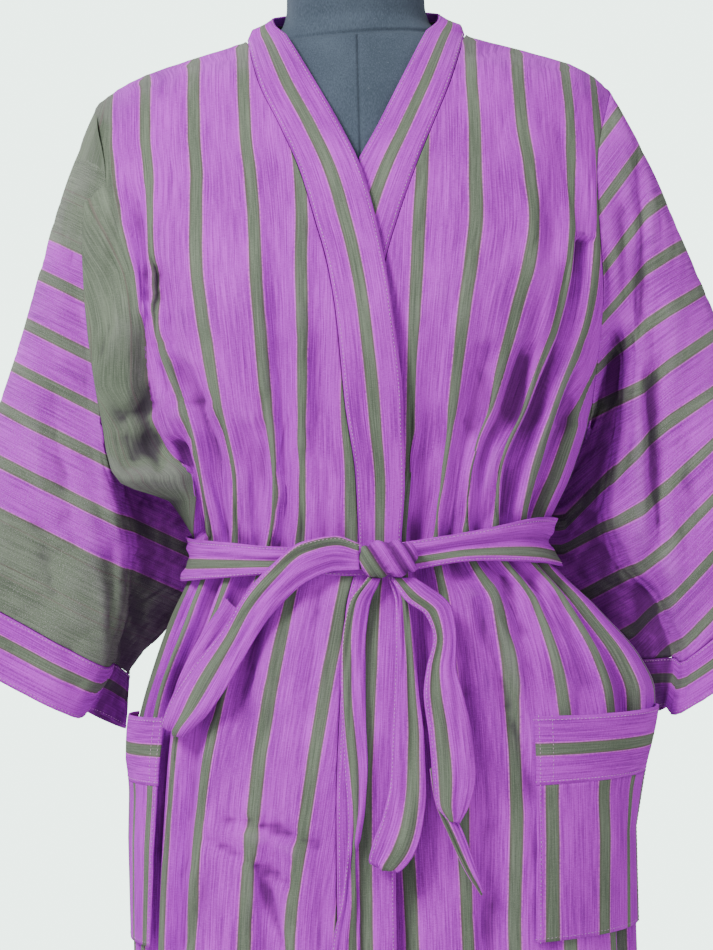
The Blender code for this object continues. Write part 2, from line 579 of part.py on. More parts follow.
def make_knot():
    """Knot: a full, squarish roll of wrapped sash."""
    (x0, x1), (z0, z1) = KNOT["x"], KNOT["z"]
    middle = np.array([(x0 + x1) / 2, 0, (z0 + z1) / 2]) * MM
    half = np.array([(x1 - x0) / 2, KNOT["deep"] / 2, (z1 - z0) / 2]) * MM
    power = 2 / KNOT["power"]
    grid = []
    for lean in np.radians(np.linspace(-78, 78, 9)):
        ring = []
        for angle in np.radians(np.arange(0, 360, 22.5)):
            a = np.sign(np.cos(angle)) * abs(np.cos(angle)) ** power
            b = np.sign(np.sin(angle)) * abs(np.sin(angle)) ** power
            c = abs(np.cos(lean)) ** power
            x = middle[0] + half[0] * np.sign(np.sin(lean)) * abs(np.sin(lean)) ** power
            z = middle[2] + half[2] * c * b
            y = front_y(x, middle[2]) - SASH_OUT - SASH_CLEAR - half[1] * (1 + c * a)
            ring.append((x, y, z))
        grid.append(ring)
    add("sash_knot", grid_mesh("sash_knot", np.array(grid), closed=True, caps=True, flip=True), "purple_cotton")


def make_ribbons():
    for name, table in RIBBONS.items():
        table = np.array(table, dtype=float) * MM
        knots = np.arange(len(table))
        fine = np.linspace(0, len(table) - 1, 2 * len(table) - 1)
        rows = []
        for t in fine:
            xl, zl, dl, xr, zr, dr = (float(ease(knots, table[:, i], t)) for i in range(6))
            row = []
            for s in np.linspace(0, 1, 3):
                x, z, out = xl + (xr - xl) * s, zl + (zr - zl) * s, dl + (dr - dl) * s
                row.append((x, front_y(x, z) - out, z))
            rows.append(row)
        cloth(name, np.array(rows), "purple_cotton", thick=RIBBON_WALL, offset=0.0)


for item in list(bpy.data.objects):
    bpy.data.objects.remove(item, do_unlink=True)
PARTS = bpy.data.collections.new("kimono_robe")
bpy.context.scene.collection.children.link(PARTS)
make_form()
make_back()
make_fronts()
make_bands()
make_sleeves()
make_pockets()
make_sash()
make_knot()
make_ribbons()
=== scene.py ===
# %% [markdown]
# A striped cotton kimono robe, wrapped and tied round a dress form.
# The robe is cut from narrow handloom cloth: two fronts that cross over, a back, a band that runs round
# the neck and down both front edges, wide straight sleeves with cuffs, two patch pockets and a sash.
# A maker would think of each piece as a flat cut that has been bent, gathered and lapped. This script
# does the same: each surface is worked out from places on the flat cut, so a stripe that is straight in
# the loom stays on its own thread when the cloth turns into a fold.

# %% Load the solids
import functools
import math

import bmesh
import bpy
import numpy as np
from mathutils import Matrix, Vector, noise


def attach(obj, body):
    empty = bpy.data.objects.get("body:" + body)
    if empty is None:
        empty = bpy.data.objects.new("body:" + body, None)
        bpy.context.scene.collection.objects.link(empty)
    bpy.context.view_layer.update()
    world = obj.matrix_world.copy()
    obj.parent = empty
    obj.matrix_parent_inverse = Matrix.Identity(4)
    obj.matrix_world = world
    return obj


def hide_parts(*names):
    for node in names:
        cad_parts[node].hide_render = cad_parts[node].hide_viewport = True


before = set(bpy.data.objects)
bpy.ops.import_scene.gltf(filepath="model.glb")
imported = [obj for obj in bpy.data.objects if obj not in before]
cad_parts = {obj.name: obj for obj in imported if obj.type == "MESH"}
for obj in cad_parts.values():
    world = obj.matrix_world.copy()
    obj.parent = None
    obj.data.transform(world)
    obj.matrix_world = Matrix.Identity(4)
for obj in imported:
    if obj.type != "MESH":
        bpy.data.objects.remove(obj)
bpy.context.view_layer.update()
print("solids:", len(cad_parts))

# %% [markdown]
# The camera looks straight at the robe from two metres in front, with a long lens, and leans a degree
# and a half, as a hand-held camera does. Its axes are written out as a matrix, so the same numbers can
# turn a place in the picture into a place on the robe, which the crease tables further down use.

# %% Camera
FOCAL_PX = 2262.0
FRAME_PX = (713, 950)
EYE = np.array([-0.0101, -2.0, 1.063])
LEAN = math.radians(1.5)
RIGHT = np.array([math.cos(LEAN), 0.0, -math.sin(LEAN)])
UP = np.array([math.sin(LEAN), 0.0, math.cos(LEAN)])


def seen_at(px, py, y=-0.1):
    """Place on the upright plane at depth y that a picture point shows."""
    k = FOCAL_PX / (y - EYE[1])
    a = (np.asarray(px, dtype=float) - FRAME_PX[0] / 2) / k
    b = (FRAME_PX[1] / 2 - np.asarray(py, dtype=float)) / k
    return EYE[0] + a * RIGHT[0] + b * UP[0], EYE[2] + a * RIGHT[2] + b * UP[2]


def picture_of(x, z, y=-0.045):
    """Picture point of a place on the upright plane at depth y."""
    k = FOCAL_PX / (y - EYE[1])
    dx, dz = x - EYE[0], z - EYE[2]
    return (FRAME_PX[0] / 2 + k * (dx * RIGHT[0] + dz * RIGHT[2]),
            FRAME_PX[1] / 2 - k * (dx * UP[0] + dz * UP[2]))


camera_data = bpy.data.cameras.new("camera")
camera_data.sensor_fit = "HORIZONTAL"
camera_data.sensor_width = 36.0
camera_data.lens = 36.0 * FOCAL_PX / FRAME_PX[0]
camera_data.clip_start = 0.05
camera_data.clip_end = 50.0
camera = bpy.data.objects.new("camera", camera_data)
bpy.context.scene.collection.objects.link(camera)
camera.matrix_world = Matrix((
    (RIGHT[0], UP[0], 0.0, EYE[0]), (RIGHT[1], UP[1], -1.0, EYE[1]), (RIGHT[2], UP[2], 0.0, EYE[2]),
    (0.0, 0.0, 0.0, 1.0)))
bpy.context.scene.camera = camera
print("lens", round(camera_data.lens, 1), "mm")

# %% [markdown]
# A plain pale floor and soft studio light. Cloth shows its folds by how it darkens away from the light,
# so one large lamp stands high on one side and a weaker one fills from the other. A pale sky round the
# set keeps the shadows open, as a white room does.

# %% Floor, sky and lamps


def lamp(name, place, aim, size, power, colour=(1.0, 1.0, 1.0)):
    data = bpy.data.lights.new(name, "AREA")
    data.shape = "RECTANGLE"
    data.size, data.size_y = size
    data.energy = power
    data.color = colour
    item = bpy.data.objects.new(name, data)
    bpy.context.scene.collection.objects.link(item)
    item.location = place
    item.rotation_euler = (Vector(aim) - Vector(place)).to_track_quat("-Z", "Y").to_euler()


lamp("key", (-1.5, -1.9, 2.8), (0.0, 0.0, 1.10), (0.9, 0.9), 84.0)
lamp("fill", (2.2, -2.0, 1.7), (0.0, 0.0, 1.0), (1.8, 1.8), 12.0)
lamp("rim", (-1.7, 1.3, 2.1), (-0.2, 0.0, 1.1), (1.2, 1.6), 26.0)

sky = bpy.data.worlds.new("pale room")
sky.use_nodes = True
soft = sky.node_tree.nodes["Background"]
soft.inputs["Color"].default_value = (0.84, 0.84, 0.88, 1.0)
soft.inputs["Strength"].default_value = 0.62
wall = sky.node_tree.nodes.new("ShaderNodeBackground")
wall.inputs["Color"].default_value = (0.80, 1.0, 0.90, 1.0)
wall.inputs["Strength"].default_value = 4.3
path = sky.node_tree.nodes.new("ShaderNodeLightPath")
either = sky.node_tree.nodes.new("ShaderNodeMixShader")
sky.node_tree.links.new(path.outputs["Is Camera Ray"], either.inputs[0])
sky.node_tree.links.new(soft.outputs[0], either.inputs[1])
sky.node_tree.links.new(wall.outputs[0], either.inputs[2])
sky.node_tree.links.new(either.outputs[0], sky.node_tree.nodes["World Output"].inputs["Surface"])
bpy.context.scene.world = sky

# %% [markdown]
# A material is a graph of nodes, and most of that graph is arithmetic. The small class below wraps a
# socket and gives it the usual operators, so a mask can be written as one line of Python. Everything
# that isn't arithmetic comes from one method that takes a node's type, its settings and its inputs.

# %% Sockets that do sums


class Value:
    """A shader socket that can be added, multiplied and compared."""

    def __init__(self, graph, socket):
        self.graph, self.socket = graph, socket

    def math(self, operation, *others):
        node = self.graph.node("ShaderNodeMath", {"operation": operation},
                               dict(enumerate([self, *others])))
        return Value(self.graph, node.outputs[0])

    def __add__(self, other):
        return self.math("ADD", other)

    __radd__ = __add__

    def __mul__(self, other):
        return self.math("MULTIPLY", other)

    __rmul__ = __mul__

    def __sub__(self, other):
        return self.math("SUBTRACT", other)

    def __rsub__(self, other):
        return self.math("MULTIPLY", -1.0).math("ADD", other)

    def step(self, low, high):
        """0 below low, 1 above high, eased between."""
        node = self.graph.node("ShaderNodeMapRange", {"interpolation_type": "SMOOTHSTEP"},
                               {"Value": self, "From Min": low, "From Max": high})
        return Value(self.graph, node.outputs["Result"])


class Graph:
    """One material's nodes."""

    def __init__(self, name):
        self.material = bpy.data.materials.new(name)
        self.material.use_nodes = True
        self.tree = self.material.node_tree
        self.shader = self.tree.nodes["Principled BSDF"]

    def node(self, kind, settings=None, inputs=None):
        node = self.tree.nodes.new(kind)
        for key, value in (settings or {}).items():
            if key == "stops":
                ramp = node.color_ramp.elements
                while len(ramp) < len(value):
                    ramp.new(1.0)
                for stop, (place, colour) in zip(ramp, value):
                    stop.position, stop.color = place, colour
            else:
                setattr(node, key, value)
        for key, value in (inputs or {}).items():
            self.put(node.inputs[key], value)
        return node

    def put(self, socket, value):
        if isinstance(value, Value):
            self.tree.links.new(value.socket, socket)
        elif hasattr(value, "is_output"):
            self.tree.links.new(value, socket)
        else:
            socket.default_value = value

    def vector(self, x, y, z=0.0):
        return self.node("ShaderNodeCombineXYZ", None, {"X": x, "Y": y, "Z": z}).outputs[0]

    def noise(self, vector, scale=1.0, detail=2.0, rough=0.5):
        node = self.node("ShaderNodeTexNoise", None,
                         {"Vector": vector, "Scale": scale, "Detail": detail, "Roughness": rough})
        return Value(self, node.outputs["Fac"])

    def mix(self, share, first, second):
        node = self.node("ShaderNodeMix", {"data_type": "RGBA"}, {0: share, 6: first, 7: second})
        return node.outputs[2]

    def set(self, **inputs):
        for key, value in inputs.items():
            self.put(self.shader.inputs[key.replace("_", " ")], value)

    def bump(self, height, depth, strength=1.0, under=None):
        inputs = {"Height": height, "Distance": depth, "Strength": strength}
        if under is not None:
            inputs["Normal"] = under
        return self.node("ShaderNodeBump", None, inputs).outputs[0]


def linear(red, green, blue):
    """Scene colour for a screen colour of 0 to 255."""
    parts = [c / 255 / 12.92 if c <= 10 else ((c / 255 + 0.055) / 1.055) ** 2.4 for c in (red, green, blue)]
    return (*parts, 1.0)


# %% [markdown]
# The cloth is plain-woven on a hand loom: purple ground, grey-green stripes every 42 mm, and a pale pink
# thread on both edges of each stripe. The yarn is slubby, so the ground has fine streaks along the
# threads and small pale flecks. All of it is worked out from the piece's own UV map, which holds metres
# of flat cloth: u across the stripes and v along them. One function makes every version of the cloth:
# some pieces have a wide green stripe, and the backlit sleeves get more and larger pale flecks, painted light for
# light showing through them. Each piece also carries painted shade in its fold valleys and a painted highlight on
# its fold ridges.

# %% Handloom cotton
PITCH = 0.042
GREEN_HALF = 0.0053
PURPLE = (0.44, 0.026, 0.62, 1.0)
PURPLE_DEEP = (0.20, 0.010, 0.28, 1.0)
PURPLE_PALE = (0.82, 0.060, 1.0, 1.0)
GREEN = (0.073, 0.097, 0.066, 1.0)
GREEN_PALE = (0.235, 0.280, 0.205, 1.0)
PINK = (0.84, 0.15, 0.80, 1.0)
HUSK = (0.150, 0.062, 0.085, 1.0)
# The next colour is painted shade, laid into fold valleys where shade falls.
SHADED = (0.036, 0.012, 0.045, 1.0)
# The next colour is a painted highlight, laid lightly on fold ridges.
RIDGE_HIGHLIGHT = (0.80, 0.50, 0.86, 1.0)


def cotton(name, wide=(), backlight_speckle=0.0, only=None):
    """Striped cloth. wide lists ranges of u that are all green; only keeps the stripes within one range."""
    g = Graph(name)
    uv = g.node("ShaderNodeUVMap", {"uv_map": "cloth"}).outputs[0]
    parts = g.node("ShaderNodeSeparateXYZ", None, {0: uv})
    u, v = Value(g, parts.outputs[0]), Value(g, parts.outputs[1])
    drift = g.noise(g.vector(u * 9.0, v * 26.0), detail=1.0) - 0.5
    across = u + drift * 0.0008
    place = across.math("WRAP", PITCH / 2, -PITCH / 2).math("ABSOLUTE")
    green = 1.0 - place.step(GREEN_HALF - 0.00025, GREEN_HALF + 0.00025)
    edge = (place - (GREEN_HALF + 0.0004)).math("ABSOLUTE")
    if only:
        kept = across.step(only[0], only[0] + 0.0004) * (1.0 - across.step(only[1], only[1] + 0.0004))
        green = green * kept
        edge = edge + (1.0 - kept) * 0.01
    for low, high in wide:
        inside = across.step(low, low + 0.0005) * (1.0 - across.step(high, high + 0.0005))
        green = green.math("MAXIMUM", inside)
        near = (across - low).math("ABSOLUTE").math("MINIMUM", (across - high).math("ABSOLUTE"))
        edge = (edge + inside * 0.01).math("MINIMUM", near)
    broken = g.noise(g.vector(u * 40.0, v * 420.0), detail=1.0).step(0.36, 0.56)
    pink = (1.0 - edge.step(0.00015, 0.0007)) * (0.30 + broken * 0.55)
    streaks = g.noise(g.vector(u * 900.0, v * 18.0), detail=3.0, rough=0.7)
    slubs = g.noise(g.vector(u * 260.0, v * 1500.0), detail=2.0, rough=0.6)
    cloud = g.noise(g.vector(u * 22.0, v * 9.0), detail=3.0)
    grain = g.noise(g.vector(u * 1500.0, v * 1500.0), detail=2.0, rough=0.7)
    tone = streaks * 0.62 + slubs * 0.20 + cloud * 0.34 + grain * 0.22
    ground = g.mix(tone.step(0.50, 0.86), PURPLE_DEEP, PURPLE_PALE)
    ground = g.mix(0.22, ground, PURPLE)
    shade = g.mix(tone.step(0.44, 0.94), GREEN, GREEN_PALE)
    inner = 1.0 - (place - (GREEN_HALF - 0.0009)).math("ABSOLUTE").step(0.0002, 0.0009)
    shade = g.mix(inner * 0.35, shade, HUSK)
    colour = g.mix(green, ground, shade)
    colour = g.mix(pink, colour, PINK)
    # Pale flecks: the yarn's own slubs on all cloth; on the sleeves the extra flecks are painted light, for light
    # showing through the thin cloth.
    flecks_and_backlight = grain.step(0.60 - 0.05 * backlight_speckle, 0.74) * (0.16 + 0.50 * backlight_speckle)
    colour = g.mix(flecks_and_backlight, colour, linear(232, 214, 232))
    # Painted shade: a per-point attribute says how deep each point lies in a fold, and valleys are mixed towards
    # the shade colour.
    worn = Value(g, g.node("ShaderNodeAttribute", {"attribute_name": "worn"}).outputs["Fac"])
    colour = g.mix(worn.step(0.02, 1.0) * 0.74, colour, SHADED)
    # Painted highlight: fold ridges are mixed a little towards a pale colour.
    colour = g.mix(worn.math("MULTIPLY", -1.0).step(0.05, 1.0) * 0.05, colour, RIDGE_HIGHLIGHT)
    g.set(Base_Color=colour, Roughness=0.88 - flecks_and_backlight * 0.10)
    threads = streaks * 0.5 + slubs * 0.5 + grain * 0.6
    g.set(Normal=g.bump(threads, 0.0006, 0.55))
    g.shader.inputs["Sheen Weight"].default_value = 0.03
    g.shader.inputs["Sheen Roughness"].default_value = 0.5
    g.shader.inputs["Specular IOR Level"].default_value = 0.10
    return g.material


print("cotton ready")

# %% [markdown]
# The form is covered in dark slate jersey with a fine rib, its cap is moulded plastic with a faint
# orange-peel, and the stand is steel under satin paint that has picked up a little dust and a few rubs.

# %% Form, cap and stand finishes


def jersey():
    g = Graph("slate jersey")
    place = g.node("ShaderNodeTexCoord").outputs["Object"]
    spread = g.node("ShaderNodeMapping", None, {"Vector": place, "Scale": (1.0, 1.0, 0.25)}).outputs[0]
    rib = g.noise(spread, 1400.0, 2.0, 0.6)
    cloud = g.noise(place, 14.0, 3.0)
    lint = g.noise(place, 620.0, 1.0).step(0.70, 0.80)
    colour = g.mix((rib * 0.6 + cloud * 0.5).step(0.35, 0.80),
                   (0.052, 0.072, 0.098, 1.0), (0.104, 0.136, 0.178, 1.0))
    colour = g.mix(lint * 0.35, colour, (0.26, 0.30, 0.34, 1.0))
    g.set(Base_Color=colour, Roughness=0.80 + rib * 0.10, Normal=g.bump(rib, 0.0004, 0.5))
    g.shader.inputs["Sheen Weight"].default_value = 0.05
    g.shader.inputs["Specular IOR Level"].default_value = 0.12
    return g.material


def moulded(name, colour, rough, peel, metal=0.0):
    g = Graph(name)
    place = g.node("ShaderNodeTexCoord").outputs["Object"]
    skin = g.noise(place, peel, 2.0)
    rubs = g.noise(place, 38.0, 5.0, 0.7).step(0.55, 0.78)
    tone = g.mix(rubs * 0.35, colour, tuple(min(1.0, c * 2.2 + 0.01) for c in colour[:3]) + (1.0,))
    g.set(Base_Color=tone, Roughness=rough + rubs * 0.14, Normal=g.bump(skin, 0.0003, 0.25))
    g.shader.inputs["Metallic"].default_value = metal
    return g.material


JERSEY = jersey()
CAP = moulded("cap plastic", linear(38, 38, 40), 0.38, 420.0)
PAINT = moulded("satin black paint", linear(34, 34, 36), 0.42, 700.0)
for node_name, finish in (("form_neck_cap", CAP), ("stand_pole", PAINT), ("stand_base", PAINT)):
    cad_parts[node_name].material_slots[0].material = finish

# %% [markdown]
# The pattern tables. The first gives the worn robe's level outline at many heights. The two for the
# fronts say where five green stripes lie at each height: because the loom puts them 42 mm apart, two
# stripes that lie closer than that must have spare cloth between them, and it stands in a fold.

# %% Tables of the robe
MM = 0.001
SEAM_GAP = 0.3 * MM
LAYER_LIFT = 4.0 * MM
MAX_FOLD = 15.0 * MM
SKIRT_SLACK = 0.10
SECTION_POWER = 2.3
TOP_Z = 1.452
FRONT_TOP_Z = 1.4455
HEM_Z = 0.150
SASH_OUT = 6.8 * MM
CLOTH = 1.2 * MM
DOUBLE = 1.8 * MM

BODY = np.array([
    [1452, 86, 86, 62, 78], [1442, 108, 108, 64.5, 81], [1430, 150, 150, 68, 85], [1417, 192, 192, 72, 89],
    [1405, 216, 212, 75.5, 92], [1390, 232, 224, 79, 95], [1360, 243, 228, 86, 99], [1320, 246, 229, 97, 103],
    [1260, 244, 226, 116, 106], [1200, 238, 219, 131, 104],
    [1130, 216, 203, 122, 100], [1060, 185, 180, 108, 94],
    [1020, 160, 160, 99, 88], [1004, 153, 153, 96.5, 86.5],
    [985, 157, 159, 99, 89], [940, 178, 200, 106, 106],
    [895, 195, 237, 112, 120], [867, 204, 248, 114, 127],
    [843, 210, 247, 116, 130], [800, 216, 232, 118, 133],
    [760, 217, 226, 120, 134], [670, 217, 226, 124, 136],
    [400, 226, 231, 138, 146], [150, 236, 239, 150, 156],
])[::-1] * MM
FORM = np.array([
    [800, 168, 84, 104], [806, 174, 89, 109], [825, 176, 91, 111], [870, 168, 88, 105], [950, 140, 78, 84],
    [1020, 124, 71, 64], [1120, 150, 96, 74], [1200, 163, 112, 84], [1300, 172, 94, 88], [1370, 187, 78, 88],
    [1395, 189, 73, 87.5], [1414, 179, 66, 84], [1427, 147, 60, 80], [1438.5, 104, 56, 76],
    [1447.5, 80, 53, 72], [1459, 65, 53, 64], [1475, 61, 57, 61], [1530, 60, 58, 60],
]) * MM
OVER = np.array([
    [1446, -62, -96, -14, -56, -99, -141, -184], [1400, -37, -85, -14, -56, -98, -141, -184],
    [1360, -16, -67, -13, -55, -97, -141, -184], [1320, 1, -51, -9, -51, -93, -139, -181],
    [1280, 11, -40, -8, -50, -90, -140, -182], [1240, 18, -30, -10, -51, -89, -139, -181],
    [1200, 23, -24, -11, -51, -87, -135, -179], [1120, 30, -18, -17, -54, -83, -125, -156],
    [1060, 30, -11, -15, -56, -80, -115, -144], [1004, 26, -10, -16, -60, -86, -116, -139],
    [950, 25, -22, -26, -72, -106, -135, -157], [870, 20, -29, -43, -90, -133, -168, -188],
    [790, 15, -34, -58, -102, -149, -178, -201], [670, 13, -36, -76, -114, -162, -188, -206],
    [400, 11, -38, -82, -124, -168, -200, -218], [150, 9, -40, -88, -132, -174, -208, -228],
])[::-1] * MM
UNDER = np.array([
    [1446, 61, 95, 55, 97, 137, 180, 205], [1400, 37, 80, 55, 97, 137, 180, 205],
    [1360, 16, 63, 54, 98, 139, 182, 206], [1320, -6, 46, 52, 97, 144, 182, 206],
    [1280, -20, 31, 48, 96, 146, 181, 203], [1240, -30, 18, 45, 90, 140, 177, 200],
    [1200, -38, 8, 42, 83, 128, 168, 194], [1120, -49, -3, 38, 72, 105, 136, 163],
    [1060, -54, -7, 35, 62, 87, 112, 141], [1004, -56, -9, 30, 55, 82, 108, 132],
    [950, -58, -10, 27, 61, 106, 141, 168], [870, -59, -11, 24, 66, 116, 160, 201],
    [790, -60, -12, 24, 71, 117, 163, 205], [670, -60, -12, 26, 73, 112, 160, 200],
    [400, -60, -12, 28, 75, 117, 166, 202], [150, -60, -12, 30, 77, 121, 171, 208],
])[::-1] * MM
# Inner edge of the wide green stripe on the over front, in picture points
WIDE_FROM = 0.204
WIDE_EDGE = [(106, 90), (108, 140), (113, 180), (120, 220), (128, 250), (134, 270), (139, 300), (142, 330),
             (142, 380), (145, 410), (156, 440), (172, 458), (188, 472), (191, 500), (188, 548)]
# Free edge of the over front's wing, which laps over the head of the sleeve, in picture points
WING_EDGE = [(84, 118), (82, 140), (81, 200), (82, 260), (84, 300), (88, 340), (92, 370), (97, 400),
             (103, 430),
             (106, 450), (111, 470), (122, 486)]
# How far forward the wing lies, how far it drops back over the shoulder, and where that drop begins
WING_Y = -0.066
WING_DROP, WING_DROP_Z, WING_DROP_SPAN = 0.046, 1.255, 0.120
OVER_VALLEYS = [0.62, 0.66, 0.48, 0.55, 0.5]
UNDER_VALLEYS = [0.45, 0.58, 0.5, 0.42, 0.55]
OVER_SIDE = np.array([[150, 300], [670, 290], [1004, 283], [1130, 280], [1200, 262], [1360, 250],
                      [1446, 250]]) * MM
UNDER_SIDE = np.array([[150, 290], [670, 280], [1004, 272], [1130, 266], [1200, 248], [1360, 238],
                       [1446, 238]]) * MM
PANEL_LEVELS = [HEM_Z, 0.275, 0.40, 0.53, 0.66, 0.75, 0.82, 0.87, 0.91, 0.945, 0.972, 0.988, 1.004, 1.026, 1.06,
                1.10, 1.114, 1.14, 1.20, 1.26, 1.31, 1.355]
ARM_TOP, ARM_LOW = 1.398, 1.100
ARM_MIDDLE, ARM_HALF = (ARM_TOP + ARM_LOW) / 2, (ARM_TOP - ARM_LOW) / 2
ARM_FRONT, ARM_BACK = 0.058, 0.062
ARM_CLEAR = {"right": 0.2, "left": 0.2}

# %% [markdown]
# Curves through a table's rows must not overshoot them, or a waist of 153 mm might dip to 150 between
# two rows. This one takes its slopes from the harmonic mean of the neighbours, which never overshoots.
# The level outline is a superellipse, a rounded shape between an oval and a box, walked by arc length so
# that cloth laid on it keeps its width.

# %% Level outlines


def smooth_step(x):
    x = np.clip(x, 0.0, 1.0)
    return x * x * (3.0 - 2.0 * x)


def ease(knots, values, at):
    """Smooth curve through a table's rows that never overshoots them."""
    knots, values, at = (np.asarray(a, dtype=float) for a in (knots, values, at))
    step = np.diff(knots)
    slope = np.diff(values) / step
    total = np.where(slope[1:] + slope[:-1] == 0, 1.0, slope[1:] + slope[:-1])
    inner = np.where(slope[1:] * slope[:-1] > 0, 2 * slope[1:] * slope[:-1] / total, 0.0)
    tangent = np.concatenate([slope[:1], inner, slope[-1:]])
    i = np.clip(np.searchsorted(knots, at, side="right") - 1, 0, len(step) - 1)
    h = step[i]
    t = np.clip((at - knots[i]) / h, -1.0, 2.0)
    return ((2 * t**3 - 3 * t**2 + 1) * values[i] + (t**3 - 2 * t**2 + t) * h * tangent[i]
            + (3 * t**2 - 2 * t**3) * values[i + 1] + (t**3 - t**2) * h * tangent[i + 1])


def section(z, face):
    """Level line of the robe, from the wearer's right side to the left, and the arc from x = 0."""
    reach_right, reach_left, front, back = (float(ease(BODY[:, 0], BODY[:, i], z)) for i in (1, 2, 3, 4))
    turn = np.radians(np.linspace(-90, 90, 361))
    reach = np.where(turn < 0, reach_right, reach_left)
    x = reach * np.sign(turn) * np.abs(np.sin(turn)) ** (2 / SECTION_POWER)
    y = (-front if face == "front" else back) * np.cos(turn).clip(0) ** (2 / SECTION_POWER)
    arc = np.concatenate([[0], np.cumsum(np.hypot(np.diff(x), np.diff(y)))])
    return x, y, arc - np.interp(0.0, x, arc)


def on_section(z, arcs, out, face):
    """Points at these arcs of a level line, moved out of it along its level normal."""
    x, y, arc = section(z, face)
    width = 2.0 * MM
    tx = np.interp(arcs + width, arc, x) - np.interp(arcs - width, arc, x)
    ty = np.interp(arcs + width, arc, y) - np.interp(arcs - width, arc, y)
    size = np.hypot(tx, ty)
    way = 1.0 if face == "front" else -1.0
    px = np.interp(arcs, arc, x) + way * out * ty / size
    py = np.interp(arcs, arc, y) - way * out * tx / size
    return np.stack([px, py, np.full_like(px, z)], axis=-1)


def side_arc(z, face, side):
    """Arc at which a panel ends: at the side seam, the armhole or the shoulder."""
    across = max(1.0 - ((z - ARM_MIDDLE) / ARM_HALF) ** 2, 0.0)
    edge = math.sqrt(across) * (ARM_FRONT if face == "front" else ARM_BACK)
    x, y, arc = section(z, face)
    half = arc[x >= 0] if side > 0 else -arc[x <= 0][::-1]
    depth = np.abs(y[x >= 0]) if side > 0 else np.abs(y[x <= 0])[::-1]
    return float(np.interp(-edge - 1.5 * SEAM_GAP, -depth, half))


# %% [markdown]
# A fold's depth follows from its slack. A strip of cloth of length c laid over a shorter gap s, as one
# smooth wave, must stand about (2 s / pi) times the square root of c / s - 1 deep. Working it out this
# way, rather than drawing folds by eye, is what makes the stripes narrow where the cloth is gathered.

# %% Folds from slack


def folded(u, marks, valleys, arcs, z, plain_first=False):
    """Arc and depth at cloth places u: one valley in each gap between marks, none beside a side seam."""
    s = ease(marks, arcs, u)
    out = np.zeros_like(u)
    fade = float(smooth_step((1.365 - z) / 0.12)) * (0.80 + 0.20 * float(smooth_step((z - HEM_Z) / 0.5)))
    extra = 1.0 + SKIRT_SLACK * float(smooth_step((0.96 - z) / 0.08))
    for k in range(1 if plain_first else 0, len(marks) - 2):
        t = (u - marks[k]) / (marks[k + 1] - marks[k])
        share = valleys[k % len(valleys)]
        warped = np.where(t < share, 0.5 * t / share, 1 - 0.5 * (1 - t) / (1 - share))
        gap = arcs[k + 1] - arcs[k]
        slack = (marks[k + 1] - marks[k]) * extra / gap - 1.0
        depth = min(2.0 * gap / math.pi * math.sqrt(slack), 0.42 * gap, MAX_FOLD) * fade if slack > 0 else 0.0
        out = np.where((t >= 0) & (t <= 1), -0.5 * depth * (1 - np.cos(2 * np.pi * warped)), out)
    return s, out


@functools.cache
def wide_edge_table():
    """Heights and x of the wide stripe's inner edge, lowest first."""
    x, z = seen_at([p[0] for p in WIDE_EDGE], [p[1] for p in WIDE_EDGE], -0.085)
    return z[::-1], x[::-1]


